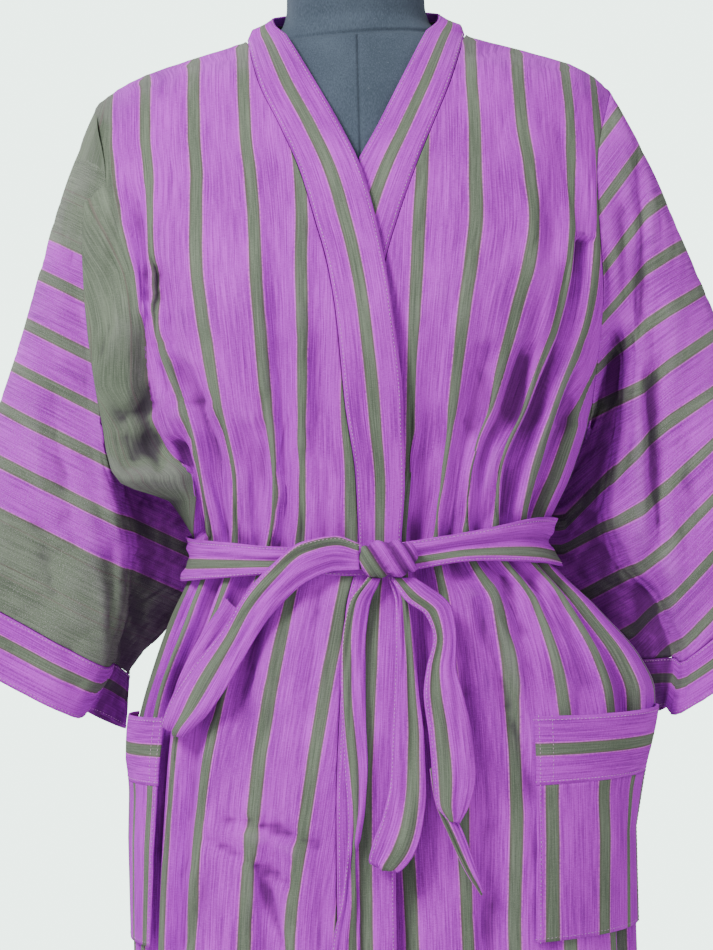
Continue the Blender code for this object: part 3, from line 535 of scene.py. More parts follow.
class Front:
    """One front panel. Its cloth places u are counted from the first green stripe outwards."""

    def __init__(self, table, side_table, valleys, side):
        self.table, self.side_table, self.valleys, self.side = table, side_table, valleys, side
        self.over = side < 0

    def column(self, i, z):
        return float(ease(self.table[:, 0], self.table[:, i], z))

    def marks(self, z):
        """Cloth places and arcs of the stripes, ended by the panel's side."""
        x, _, arc = section(z, "front")
        arcs = [self.side * float(np.interp(self.column(i, z), x, arc)) for i in range(3, 8)]
        cloth = [k * PITCH for k in range(5)]
        end = side_arc(z, "front", self.side)
        last = max(k for k in range(5) if k == 0 or arcs[k] < end - 0.004)
        scale = PITCH / (arcs[last + 1] - arcs[last]) if last < 4 else 1.0
        cut_off = cloth[last] + (end - arcs[last]) * scale
        whole = max(float(ease(self.side_table[:, 0], self.side_table[:, 1], z)),
                    cloth[last] + end - arcs[last])
        share = float(smooth_step((z - 1.085) / 0.07))
        reach = whole * (1.0 - share) + cut_off * share - cloth[last]
        gaps = 2 if last == 4 else 1
        arcs, cloth = arcs[:last + 1], cloth[:last + 1]
        if self.over and last == 4:
            between = arcs[4] + (end - arcs[4]) * 0.36
            wide = -float(np.interp(np.interp(z, *wide_edge_table()), x, arc))
            hung = float(smooth_step((z - 0.975) / 0.03))
            wide = min(max(wide * hung + between * (1 - hung), arcs[4] + 0.006), end - 0.006)
            return (np.array([*cloth, WIDE_FROM, max(cloth[4] + reach, WIDE_FROM + end - wide)]),
                    np.array([*arcs, wide, end]))
        cloth += [cloth[last] + reach * k / gaps for k in range(1, gaps + 1)]
        arcs += [arcs[last] + (end - arcs[last]) * k / gaps for k in range(1, gaps + 1)]
        return np.array(cloth), np.array(arcs)

    def seam(self, z):
        x, _, arc = section(z, "front")
        cloth, arcs = self.marks(z)
        return float(np.interp(self.side * np.interp(self.column(2, z), x, arc),
                               [arcs[0] - 0.3, *arcs], [cloth[0] - 0.3, *cloth])) + SEAM_GAP

    def layer(self, x, z):
        """The over front lies out of the body's section, the under front sinks beneath it."""
        below = smooth_step((1.385 - z) / 0.06)
        if self.over:
            return LAYER_LIFT * below * smooth_step((x + 0.170) / 0.100)
        deep = 0.018 * smooth_step((1.30 - z) / 0.2) + 0.002
        return -deep * below * (1.0 - smooth_step((x + 0.004) / 0.062))

    def points(self, z, u, out=0.0, flat=1.0):
        cloth, arcs = self.marks(z)
        s, depth = folded(np.maximum(u, 0.0), cloth, self.valleys, arcs, z)
        s = np.where(u < 0, arcs[0] + u, s)
        depth = np.where(u < 0, 0.0, depth) * flat * smooth_step((u - self.seam(z)) / 0.020)
        x, _, arc = section(z, "front")
        lay = self.layer(np.interp(self.side * s, arc, x), z)
        return on_section(z, self.side * s, depth + lay + out, "front")

    def between(self, z, u, out):
        """Points moved out of the panel's flat stretch between the two levels beside this height."""
        above = next(k for k, level in enumerate(PANEL_LEVELS) if level >= z)
        low, high = PANEL_LEVELS[above - 1], PANEL_LEVELS[above]
        share = (z - low) / (high - low)
        return self.points(low, u, out, 0.0) * (1 - share) + self.points(high, u, out, 0.0) * share

    def band_row(self, z, columns):
        """Neckband at this height, from the seam to its free edge, on the panel's own surface."""
        x, _, arc = section(z, "front")
        across = np.linspace(self.column(2, z) - self.side * SEAM_GAP, self.column(1, z), columns)
        return on_section(z, np.interp(across, x, arc), self.layer(across, z), "front")


OVER_FRONT = Front(OVER, OVER_SIDE, OVER_VALLEYS, -1)
UNDER_FRONT = Front(UNDER, UNDER_SIDE, UNDER_VALLEYS, 1)

# %% [markdown]
# Besides the gathers, cloth has creases from packing, from the pull of the sash and from the arm. Each
# row below is one crease as the picture shows it: its two ends, its width in millimetres, and its
# depth, which is negative for a valley and positive for a ridge. Similar ones, uneven in size and
# spacing, stand for those on the back, given straight in millimetres there.

# %% Creases
FRONT_CREASES = [
    # x0, y0, x1, y1, width, depth
    (143, 318, 141, 405, 7, -6.0), (122, 300, 124, 440, 15, 3.0), (112, 200, 104, 330, 5, -1.4),
    (110, 320, 92, 362, 4, -1.6), (150, 405, 112, 418, 7, -2.4), (148, 440, 120, 470, 8, -2.2),
    (140, 412, 158, 470, 6, -3.0), (150, 262, 149, 300, 5, -2.4), (135, 145, 112, 160, 4, -1.0),
    (160, 120, 190, 152, 4, -1.0), (140, 345, 196, 338, 3, -1.0), (150, 404, 212, 400, 4, -1.4),
    (237, 548, 214, 420, 7, -3.5), (268, 548, 262, 400, 6, -3.5), (205, 546, 178, 430, 8, -4.0),
    (300, 548, 303, 455, 6, -2.5), (222, 548, 200, 470, 5, 2.0), (252, 548, 244, 470, 5, 2.0),
    (284, 548, 283, 480, 5, 1.8), (325, 545, 328, 470, 6, -2.2), (342, 545, 340, 430, 5, -2.2),
    (430, 535, 441, 420, 7, -3.0), (412, 545, 414, 440, 6, -2.6), (449, 530, 462, 430, 5, 2.2),
    (467, 520, 490, 380, 7, -3.5), (490, 515, 528, 360, 7, -3.5), (505, 512, 556, 345, 7, -3.0),
    (480, 520, 505, 420, 5, 2.0), (540, 515, 578, 400, 6, -3.0), (520, 515, 552, 415, 5, 2.0),
    (152, 262, 186, 420, 9, -3.2), (130, 190, 168, 330, 11, -2.4), (172, 175, 178, 300, 9, -1.8),
    (302, 176, 318, 250, 6, -2.6), (318, 250, 342, 330, 6, -2.0), (228, 120, 240, 260, 12, -1.6),
    (292, 210, 300, 330, 5, 1.6), (330, 300, 342, 400, 5, 1.4), (195, 230, 212, 330, 8, 1.4),
    (440, 150, 425, 300, 9, -1.8), (500, 110, 505, 250, 12, -1.6), (560, 120, 590, 230, 10, -2.4),
    (585, 235, 560, 330, 9, -2.4), (545, 300, 500, 440, 6, -2.0), (592, 150, 602, 250, 7, 1.6),
    (470, 250, 462, 330, 8, 1.3), (531, 190, 534, 280, 8, 1.4), (420, 330, 405, 470, 7, -2.0),
    (478, 600, 509, 703, 6, -3.6), (509, 703, 534, 801, 6, -3.0), (452, 618, 466, 696, 5, -2.8),
    (490, 590, 520, 690, 6, 2.4), (530, 590, 560, 700, 7, -3.0), (560, 600, 600, 700, 7, -3.0),
    (545, 585, 575, 665, 5, 2.0), (435, 580, 440, 700, 6, -2.5), (505, 580, 528, 640, 5, -2.5),
    (219, 819, 265, 824, 5, -2.6), (265, 824, 322, 842, 5, -2.2), (205, 839, 256, 862, 5, -2.2),
    (256, 862, 291, 882, 5, -1.8), (259, 867, 285, 950, 5, -2.4), (240, 830, 300, 850, 5, 1.8),
    (215, 585, 168, 720, 8, -3.4), (236, 590, 205, 720, 7, -3.0), (262, 590, 232, 760, 8, -3.2),
    (290, 590, 266, 740, 7, -2.6), (318, 590, 303, 730, 7, -2.6), (225, 590, 188, 700, 6, 2.2),
    (275, 590, 250, 700, 6, 2.0), (332, 600, 318, 700, 6, 1.8), (176, 680, 158, 860, 9, -2.8),
    (330, 860, 318, 950, 7, -2.2), (205, 870, 188, 950, 7, -2.2), (484, 800, 490, 950, 10, -2.4),
    (545, 830, 552, 950, 9, -2.4), (460, 700, 462, 860, 8, -2.0), (596, 830, 604, 950, 8, -2.0),
]
BACK_CREASES = [
    # x0, z0, x1, z1 in millimetres, width, depth
    (-130, 1030, -170, 1180, 8, -3.2), (-104, 1030, -124, 1150, 7, -3.0), (-80, 1030, -92, 1190, 8, -3.4),
    (-52, 1030, -58, 1130, 6, -2.8), (-24, 1030, -22, 1170, 8, -3.0), (8, 1030, 12, 1140, 7, -2.8),
    (36, 1030, 48, 1180, 8, -3.4), (66, 1030, 80, 1140, 6, -2.6), (92, 1030, 118, 1170, 8, -3.2),
    (122, 1030, 162, 1160, 8, -3.0), (-116, 1030, -140, 1120, 5, 2.0), (-66, 1030, -76, 1120, 5, 2.0),
    (22, 1030, 28, 1130, 5, 2.0), (80, 1030, 98, 1120, 5, 2.0), (-128, 968, -168, 800, 8, -3.2),
    (-96, 968, -120, 790, 8, -3.0), (-62, 968, -74, 760, 8, -3.2), (-30, 968, -34, 820, 7, -2.6),
    (6, 968, 4, 780, 8, -3.0), (40, 968, 52, 800, 8, -3.0), (74, 968, 98, 790, 8, -3.2),
    (108, 968, 150, 830, 8, -3.0), (-180, 1330, -120, 1240, 10, -2.2), (170, 1340, 118, 1230, 10, -2.2),
    (-60, 1380, 40, 1370, 14, -1.6), (-150, 640, -120, 420, 14, -2.4), (70, 600, 92, 300, 16, -2.4),
    (-20, 560, -34, 250, 14, -2.0), (-90, 700, 10, 684, 8, -1.6), (30, 520, 130, 500, 8, -1.6),
]
SLEEVE_CREASES = {
    "right": [
        (107, 552, 106, 655, 8, -4.5), (60, 250, 84, 420, 12, -3.0), (34, 330, 62, 560, 14, -2.6),
        (78, 430, 100, 560, 9, -2.6), (15, 480, 40, 600, 12, -2.0), (90, 300, 96, 400, 8, -3.0),
        (50, 420, 70, 520, 9, 1.8), (95, 590, 98, 690, 7, 1.8), (20, 400, 30, 500, 10, 1.6),
        (60, 640, 66, 700, 9, -2.0), (70, 190, 60, 260, 8, -2.0), (118, 560, 126, 640, 5, -2.0),
    ],
    "left": [
        (664, 372, 672, 552, 8, -6.0), (649, 150, 653, 316, 5, -4.0), (640, 330, 628, 400, 9, -4.0),
        (655, 560, 664, 640, 9, -3.0), (690, 380, 700, 560, 14, -3.0), (630, 200, 640, 320, 7, -3.0),
        (640, 420, 628, 500, 8, -3.0), (680, 300, 690, 420, 10, 2.0), (684, 560, 696, 640, 9, 1.8),
        (650, 420, 655, 540, 6, 2.6), (668, 560, 676, 620, 6, -2.4), (615, 250, 610, 330, 6, -2.6),
    ],
}


CREASE_GAIN = 1.7


def crease_field(x, z, rows):
    """How far each point is moved out by the creases near it; all in metres."""
    out = np.zeros_like(x)
    for x0, z0, x1, z1, width, depth in rows:
        ax, az = x1 - x0, z1 - z0
        length = ax * ax + az * az
        t = ((x - x0) * ax + (z - z0) * az) / length
        near = np.clip(t, 0.0, 1.0)
        gap = np.hypot(x - x0 - near * ax, z - z0 - near * az)
        bow = 0.0012 * np.sin(9.0 * near + 300.0 * x0)
        end = smooth_step((t + 0.25) / 0.45) * smooth_step((1.25 - t) / 0.45)
        out += CREASE_GAIN * depth * MM * end * np.exp(-((gap + bow) / (width * MM)) ** 2)
    return out


def wrinkles(u, v, across, along, depth, seed):
    """Shallow random creases: valleys along the lines where a smooth noise passes through zero."""
    out = np.zeros(u.size)
    for i, (a, b) in enumerate(zip(u.ravel(), v.ravel())):
        slow = noise.noise(Vector((a / across, b / along, seed)))
        fine = noise.noise(Vector((a / across * 2.3 + 7.0, b / along * 1.9, seed + 3.0)))
        swell = noise.noise(Vector((a / across * 0.45, b / along * 0.5, seed + 9.0)))
        out[i] = (0.9 * swell - 0.75 * math.exp(-(slow / 0.09) ** 2) * (0.6 + swell)
                  - 0.40 * math.exp(-(fine / 0.10) ** 2) + 0.3 * slow)
    return out.reshape(u.shape) * depth


def from_picture(rows):
    table = []
    for px0, py0, px1, py1, width, depth in rows:
        x0, z0 = seen_at(px0, py0)
        x1, z1 = seen_at(px1, py1)
        table.append((float(x0), float(z0), float(x1), float(z1), width, depth))
    return table


# %% [markdown]
# Every piece of cloth is first a grid of points with a flat-cloth place for each. Normals come from the
# grid's own rows and columns. The wall is given by Solidify, inwards from the outer face, as in the
# solids. The UV map, named cloth, keeps metres, so a stripe has the same width on every piece.

# %% Cloth from a grid


def normals_of(grid, outward):
    """Unit normals of a grid of points, turned so that most agree with the outward guess."""
    down = np.gradient(grid, axis=0)
    along = np.gradient(grid, axis=1)
    normal = np.cross(down, along)
    normal /= np.linalg.norm(normal, axis=2, keepdims=True).clip(1e-9)
    return normal if (normal * outward).sum() > 0 else -normal


def out_of_body(grid):
    away = grid.copy()
    away[..., 2] = 0.0
    return away


# A valley this deep takes the full painted shade
FULL_HOLLOW = 3.3 * MM


def hollows(grid, out, reach=5):
    """How far each point lies below the cloth round it, in metres: valleys are positive."""
    total, count = np.zeros(grid.shape[:2]), 0
    for step in (1, 2, reach):
        for shift in ((step, 0), (-step, 0), (0, step), (0, -step)):
            rows = np.clip(np.arange(grid.shape[0]) + shift[0], 0, grid.shape[0] - 1)
            columns = np.clip(np.arange(grid.shape[1]) + shift[1], 0, grid.shape[1] - 1)
            total += ((grid[rows][:, columns] - grid) * out).sum(axis=2)
            count += 1
    return total / count


def cloth_piece(name, grid, uv, material, nodes, thick=CLOTH, closed=False, offset=-1.0, outward=None,
                deep=0.0):
    """A grid of points made a mesh with a wall; closed joins its last column to its first. Its fold valleys get
    painted shade and its ridges a painted highlight; deep adds more painted shade.
    """
    rows, columns = grid.shape[:2]
    out = normals_of(grid, out_of_body(grid) if outward is None else outward)
    faces = []
    for r in range(rows - 1):
        for c in range(columns - 1):
            faces.append((r * columns + c, r * columns + c + 1,
                          (r + 1) * columns + c + 1, (r + 1) * columns + c))
    first = np.cross(grid[0, 1] - grid[0, 0], grid[1, 0] - grid[0, 0])
    if np.dot(first, out[0, 0]) < 0:
        faces = [f[::-1] for f in faces]
    mesh = bpy.data.meshes.new(name)
    mesh.from_pydata(grid.reshape(-1, 3).tolist(), [], faces)
    layer = mesh.uv_layers.new(name="cloth")
    worn = mesh.attributes.new("worn", "FLOAT", "POINT")
    # Painted shade and highlight: how deep each point lies in a fold, plus deep, stored for the material to
    # darken valleys and lighten ridges.
    hollow = np.clip(hollows(grid, out) / FULL_HOLLOW, -1.0, 1.0) + deep
    worn.data.foreach_set("value", hollow.ravel().astype(np.float32))
    flat_uv = uv.reshape(-1, 2)
    index = np.empty(len(mesh.loops), dtype=np.int32)
    mesh.loops.foreach_get("vertex_index", index)
    layer.data.foreach_set("uv", flat_uv[index].ravel())
    mesh.materials.append(material)
    piece = bpy.data.objects.new(name, mesh)
    bpy.context.scene.collection.objects.link(piece)
    if closed:
        weld = piece.modifiers.new("close", "WELD")
        weld.merge_threshold = 0.00002
    wall = piece.modifiers.new("wall", "SOLIDIFY")
    wall.thickness = thick
    wall.offset = offset
    bpy.context.view_layer.update()
    result = bpy.data.meshes.new_from_object(piece.evaluated_get(bpy.context.evaluated_depsgraph_get()))
    piece.modifiers.clear()
    piece.data = result
    result.name = name
    result.shade_smooth()
    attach(piece, "root")
    if nodes:
        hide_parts(*nodes)
    print(name, len(result.polygons), "faces")
    return piece


def lay_flat(grid, rests_on):
    """Work out the cut's own area from the grid; it is not kept."""
    corner = grid[:-1, :-1]
    area = float(np.linalg.norm(np.cross(grid[1:, :-1] - corner, grid[:-1, 1:] - corner), axis=2).sum())


def lengths_down(grid):
    """Cloth length from the first row down to each row, along the middle column."""
    middle = grid[:, grid.shape[1] // 2]
    return np.concatenate([[0], np.cumsum(np.linalg.norm(np.diff(middle, axis=0), axis=1))])


BODY_CLOTH = cotton("handloom cotton")
OVER_CLOTH = cotton("handloom cotton with a wide edge", wide=[(0.204, 0.300)])
PLAIN = cotton("handloom cotton band", only=(-0.030, 0.030))

# %% [markdown]
# The two fronts and the back. Rows run level from the hem to the shoulder, closer together where the
# chest and waist turn. The fronts take their creases from the picture; the back has its own table.
# The over front's wide stripe spreads into a wing that laps over the head of the sleeve.

# %% Fronts and back


def fine_levels(top, step_low=0.009, step_high=0.0055):
    low = np.arange(HEM_Z, 0.66, step_low)
    return np.concatenate([low, np.linspace(0.66, top, int((top - 0.66) / step_high))])


def spread_wing(grid, places):
    """Move the cloth beyond the wide stripe's edge out over the sleeve's head."""
    edge_x, edge_z = seen_at([p[0] for p in WING_EDGE], [p[1] for p in WING_EDGE], WING_Y)
    z = grid[:, 0, 2]
    x = np.interp(z, edge_z[::-1], edge_x[::-1])
    on = smooth_step((z - edge_z[-1] + 0.016) / 0.020) * smooth_step((edge_z[0] + 0.030 - z) / 0.040)
    across = smooth_step((places - WIDE_FROM) / (places[:, -1:] - WIDE_FROM).clip(0.01))
    across = np.where(places > WIDE_FROM, across, 0.0) * on[:, None]
    grid[..., 0] += across * (x - grid[:, -1, 0])[:, None]
    depth = WING_Y + WING_DROP * smooth_step((z - WING_DROP_Z) / WING_DROP_SPAN)
    grid[..., 1] += across * (depth - grid[:, -1, 1])[:, None]


def panel_grid(front, columns=150):
    zs = fine_levels(FRONT_TOP_Z)
    rows, places = [], []
    for z in zs:
        cloth, _ = front.marks(z)
        u = np.linspace(front.seam(z), cloth[-1], columns)
        rows.append(front.points(z, u))
        places.append(u)
    grid = np.array(rows)
    if front.over:
        spread_wing(grid, np.array(places))
    out = normals_of(grid, out_of_body(grid))
    field = crease_field(grid[..., 0], grid[..., 2], from_picture(FRONT_CREASES))
    field = field + wrinkles(np.array(places), grid[..., 2], 0.034, 0.100, 0.0016, 2.0 + front.side)
    share = np.linspace(0, 1, columns)
    calm = smooth_step(share / 0.05) * smooth_step((1 - share) / 0.05)
    grid = grid + out * (field * calm * np.clip(-out[..., 1] * 1.5, 0, 1))[..., None]
    down = lengths_down(grid)
    uv = np.stack([np.array(places), np.repeat(down[:, None], columns, axis=1)], axis=-1)
    return grid, uv


panels = {}
for name, front, finish in (("front_right", OVER_FRONT, OVER_CLOTH), ("front_left", UNDER_FRONT, BODY_CLOTH)):
    grid, uv = panel_grid(front)
    panels[name] = grid
    piece = cloth_piece("cloth_" + name, grid, uv, finish, [name])
    lay_flat(grid, ["form_torso"])


def back_row(z, columns):
    """Back panel, straight cut, with its cloth gathered evenly enough to look hung."""
    right, left = side_arc(z, "back", -1), side_arc(z, "back", 1)
    half = float(ease([150, 670, 1004, 1200, 1452], [320, 300, 286, 276, 268], z * 1000)) * MM
    gaps = 5
    marks = np.linspace(-half, half, 2 * gaps + 1)
    uneven = 0.16 * np.sin(2.1 * np.arange(2 * gaps + 1))
    uneven[[0, gaps, -1]] = 0.0
    shares = (np.arange(-gaps, gaps + 1) + uneven) / gaps
    arcs = np.where(shares < 0, shares * right, shares * left)
    valleys = [0.5, 0.42, 0.58, 0.46, 0.55, 0.5, 0.4]
    slack_top = float(smooth_step((z - 1.15) / 0.15))
    u = np.linspace(-half, half, columns)
    s, depth = folded(u, marks, valleys, arcs, z, plain_first=True)
    return on_section(z, s, depth * (1 - 0.75 * slack_top), "back"), u


rows = [back_row(z, 170) for z in fine_levels(TOP_Z)]
grid = np.array([points for points, u in rows])
out = normals_of(grid, out_of_body(grid))
metres = [(x0 * MM, z0 * MM, x1 * MM, z1 * MM, w, d) for x0, z0, x1, z1, w, d in BACK_CREASES]
share = np.linspace(0, 1, 170)
calm = smooth_step(share / 0.04) * smooth_step((1 - share) / 0.04)
field = crease_field(grid[..., 0], grid[..., 2], metres)
field = field + wrinkles(np.array([u for points, u in rows]), grid[..., 2], 0.036, 0.110, 0.0016, 11.0)
grid = grid + out * (field * calm * np.clip(out[..., 1] * 1.5, 0, 1))[..., None]
uv = np.stack([np.array([u for points, u in rows]), np.repeat(lengths_down(grid)[:, None], 170, axis=1)],
              axis=-1)
back = cloth_piece("cloth_back", grid, uv, BODY_CLOTH, ["back"])
lay_flat(grid, ["form_torso"])
panels["back"] = grid

# %% [markdown]
# The neckband is one long strip, folded double, that finishes both front edges and the neck. Its green
# stripe runs down the middle. It is a little thicker than the fronts, and its edges are pressed, so it
# swells very slightly between its seam and its free edge.

# %% Neckbands


def neck_rows(front, count, columns):
    """Neckband behind the neck: from the shoulder to the centre back, seam edge first."""
    sign = front.side
    edges = [(np.array([sign * 0.0915, -0.031, TOP_Z - 0.0005]),
              np.array([sign * 0.0705, -0.038, TOP_Z + 0.0035]))]
    for angle in np.radians(np.linspace(6, 90, count)):
        seam_x, free_x = 0.0900 * math.cos(angle), 0.0735 * math.cos(angle)
        edges.append((
            np.array([sign * max(seam_x, 1.4 * SEAM_GAP), -0.012 + 0.0905 * math.sin(angle),
                      TOP_Z + 0.0045 - 0.001 * math.sin(angle)]),
            np.array([sign * max(free_x, 1.4 * SEAM_GAP), -0.010 + 0.0860 * math.sin(angle),
                      TOP_Z + 0.014 + 0.022 * math.sin(angle)])))
    return [np.array([a + (b - a) * s for s in np.linspace(0, 1, columns)]) for a, b in edges]


def band_grid(front, columns=11):
    levels = sorted({*PANEL_LEVELS, 1.385, 1.400, 1.415, 1.430, FRONT_TOP_Z - 0.002})
    coarse = [front.band_row(z, columns) for z in levels] + neck_rows(front, 6, columns)
    coarse = np.array(coarse)
    lower = np.array([front.band_row(z, columns) for z in fine_levels(FRONT_TOP_Z - 0.002)])
    neck = np.array([lower[-1], *neck_rows(front, 6, columns)])
    knots = np.arange(len(neck))
    fine = np.linspace(0, len(neck) - 1, 60)[1:]
    upper = np.stack([np.stack([ease(knots, neck[:, c, a], fine) for a in range(3)], axis=-1)
                      for c in range(columns)], axis=1)
    return np.concatenate([lower, upper])


bands = {}
for name, front in (("neckband_right", OVER_FRONT), ("neckband_left", UNDER_FRONT)):
    grid = band_grid(front)
    columns = grid.shape[1]
    out = normals_of(grid, out_of_body(grid))
    crown = np.sin(np.pi * np.linspace(0, 1, columns)) ** 0.5
    ripple = np.sin(lengths_down(grid) * 46.0) * np.sin(lengths_down(grid) * 17.0 + 1.0)
    grid = grid + out * (0.0005 * crown[None, :] + 0.0006 * ripple[:, None] * crown[None, :])[..., None]
    bands[name] = grid
    down = lengths_down(grid)
    across = (np.linspace(0, 1, columns) - 0.49) * 0.048
    uv = np.stack([np.repeat(across[None, :], len(grid), axis=0),
                   np.repeat(down[:, None], columns, axis=1)], axis=-1)
    piece = cloth_piece("cloth_" + name, grid, uv, PLAIN, [name], thick=DOUBLE)
    lay_flat(grid, ["cloth_" + name.replace("neckband", "front")])

# %% [markdown]
# The sleeves are wide tubes cut on the straight, so their stripes run round the arm. The loom's stripes
# are placed by reading where each one crosses the sleeve in the picture: on the wearer's right sleeve
# they are parallel, on the left one they fan out from the shoulder. The points behind follow the same
# lines, as the cloth does when it is folded flat round an empty arm.

# %% Sleeve tables
SLEEVE_COLUMNS = ("way", "out_x", "out_z", "in_x", "in_z", "front", "back", "y", "share", "tip_x", "tip_z")
SLEEVES = {
    "right": np.array([
        [0, 238, 1398, 221, 1100, 58, 62, 0, 960, 221, 1100],
        [150, 258, 1330, 224, 1080, 52, 56, 0, 950, 217, 1077],
        [300, 281, 1262, 214, 1035, 47, 50, 2, 950, 176, 1046],
        [450, 304, 1190, 204, 985, 44, 46, 4, 930, 150, 1012],
        [600, 331, 1118, 207, 956, 42, 43, 6, 940, 150, 970],
        [750, 356, 1058, 212, 926, 40, 42, 8, 940, 186, 930],
        [900, 381, 985, 222, 892, 39, 42, 10, 930, 221, 886],
        [1000, 405, 934, 226, 836, 38, 42, 10, 820, 226, 836],
    ]),
    "left": np.array([
        [0, 223, 1398, 208, 1100, 58, 62, 0, 900, 208, 1100],
        [150, 251, 1340, 210, 1085, 52, 56, 5, 650, 192, 1080],
        [300, 277, 1278, 200, 1045, 46, 50, 6, 700, 168, 1042],
        [450, 305, 1212, 197, 1000, 43, 46, 10, 880, 150, 1012],
        [600, 331, 1148, 212, 955, 41, 43, 14, 880, 150, 968],
        [750, 353, 1074, 235, 913, 38, 42, 16, 830, 212, 922],
        [900, 380, 978, 255, 876, 36, 42, 18, 870, 241, 886],
        [1000, 403, 928, 258, 839, 36, 42, 18, 960, 258, 839],
    ]),
}
CUFF_WAY = 0.900
# How much higher the back layer ends than the front one at the cuff, in metres
MOUTH_RISE = 0.008
SLEEVE_OUTLINE = np.array([
    (0.0, 0.0), (0.05, -0.72), (0.24, -1.0), (0.5, -0.96), (0.76, -1.0), (0.95, -0.72), (1.0, -0.25),
    (1.02, 0.08), (1.10, 0.40), (1.20, 0.86), (1.16, 1.10),
    (1.0, 1.02), (0.72, 1.0), (0.44, 0.94), (0.18, 0.9),
    (0.03, 0.5),
])
LOW_TURN = 9 / len(SLEEVE_OUTLINE)
TAIL_END = 1.20
# Picture heights at which the green stripes cross four upright lines of the left sleeve
FAN_X = (612, 647, 672, 712)
FAN_Y = np.array([
    [190, 143, 128, 112], [258, 212, 193, 172], [308, 268, 252, 229], [357, 325, 308, 285],
    [400, 385, 364, 337], [484, 443, 421, 395], [527, 507, 487, 448], [590, 569, 548, 506],
    [660, 636, 607, 564],
])
# The right sleeve's stripes: picture height where each crosses the frame's edge, and its flat place
STEPS = ([120.0, 215.0, 253.5, 311.5, 360.5, 407.5, 463.0, 508.5, 602.0],
         [-0.120, -0.0364, 0.0, 0.042, 0.084, 0.126, 0.168, 0.204, 0.276])
STEP_SLOPE = 0.5


def sleeve_place(side, x, z):
    """Flat-cloth place across the stripes, and along them, of points on a sleeve."""
    px, py = picture_of(x, z)
    if side == "right":
        height = py - STEP_SLOPE * px
        return (np.interp(height, *STEPS) + (height > STEPS[0][-1]) * (height - STEPS[0][-1]) * 0.00075,
                px * 0.00095)
    xs = np.clip(px, FAN_X[0] - 40, FAN_X[-1] + 60)
    places = np.zeros_like(px)
    for index, value in np.ndenumerate(xs):
        k = int(np.clip(np.searchsorted(FAN_X, value) - 1, 0, 2))
        share = (value - FAN_X[k]) / (FAN_X[k + 1] - FAN_X[k])
        heights = FAN_Y[:, k] + (FAN_Y[:, k + 1] - FAN_Y[:, k]) * share
        first = heights[0] - (heights[1] - heights[0]) * 4
        last = heights[-1] + (heights[-1] - heights[-2]) * 4
        places[index] = np.interp(py[index], [first, *heights, last],
                                  [-4 * PITCH, *(PITCH * np.arange(9)), 12 * PITCH])
    return places, px * 0.00095


# %% [markdown]
# A sleeve's outline across the arm is a closed loop of 16 control points, joined by a Catmull-Rom
# curve: a flattened tube whose front layer turns under near the body, and whose fold runs on behind the
# body. Near the armhole each point slides from the armhole's own oval to that hanging shape, so the
# head of the sleeve meets the body without a step.

# %% Sleeve surface


def sleeve_ring(side, way, turns):
    """Points once round the sleeve at this way along it."""
    table = SLEEVES[side]
    get = {name: float(ease(table[:, 0], table[:, i], way * 1000)) * MM
           for i, name in enumerate(SLEEVE_COLUMNS)}
    sign = -1.0 if side == "right" else 1.0
    count = len(SLEEVE_OUTLINE)
    at = (turns % 1.0) * count
    i = at.astype(int)
    f = (at - i)[:, None]
    p = [SLEEVE_OUTLINE[(i + k) % count] for k in (-1, 0, 1, 2)]
    loop = 0.5 * (2 * p[1] + (p[2] - p[0]) * f + (2 * p[0] - 5 * p[1] + 4 * p[2] - p[3]) * f**2
                  + (3 * p[1] - p[0] - 3 * p[2] + p[3]) * f**3)
    a, b = loop[:, 0], loop[:, 1]
    under = np.clip(a - 1.0, 0.0, None) / (TAIL_END - 1.0)
    flat = np.minimum(a, 1.0) * get["share"]
    across = flat + under * (1.0 - get["share"])
    y = get["y"] + np.where(b < 0, b * get["front"], b * get["back"])
    y = y - 0.40 * get["back"] * (1.0 - float(smooth_step(way / 0.35))) * across
    x = get["out_x"] + (get["in_x"] - get["out_x"]) * flat
    z = get["out_z"] + (get["in_z"] - get["out_z"]) * flat
    x, z = x + (get["tip_x"] - x) * under, z + (get["tip_z"] - z) * under
    rise = MOUTH_RISE * max(way - 0.80, 0.0) / 0.20
    lift = rise * smooth_step((turns - 0.36) / 0.07) * (1 - smooth_step((turns - 0.47) / 0.20))
    hang = np.stack([sign * (x - 0.45 * lift), y, z + 0.89 * lift], axis=-1)
    blend = float(smooth_step(way / 0.22))
    if blend >= 1.0:
        return hang
    oval = np.array([arm_oval(side, t) for t in turns])
    return oval * (1 - blend) + hang * blend


def arm_oval(side, turn):
    """The armhole's own edge, at the same turn round as the sleeve."""
    turn = turn % 1.0
    share = 0.5 * turn / LOW_TURN if turn < LOW_TURN else 0.5 + 0.5 * (turn - LOW_TURN) / (1 - LOW_TURN)
    angle = 2 * math.pi * share
    z = ARM_MIDDLE + ARM_HALF * math.cos(angle)
    face = "front" if math.sin(angle) >= 0 else "back"
    sign = -1.0 if side == "right" else 1.0
    point = on_section(z, np.array([sign * side_arc(z, face, sign)]), np.zeros(1), face)[0]
    low = (0.5 - 0.5 * math.cos(angle)) ** 2
    return point + np.array([sign * (ARM_CLEAR[side] + 1.2 * low) * MM, 0.0, (0.2 - 1.6 * low) * MM])


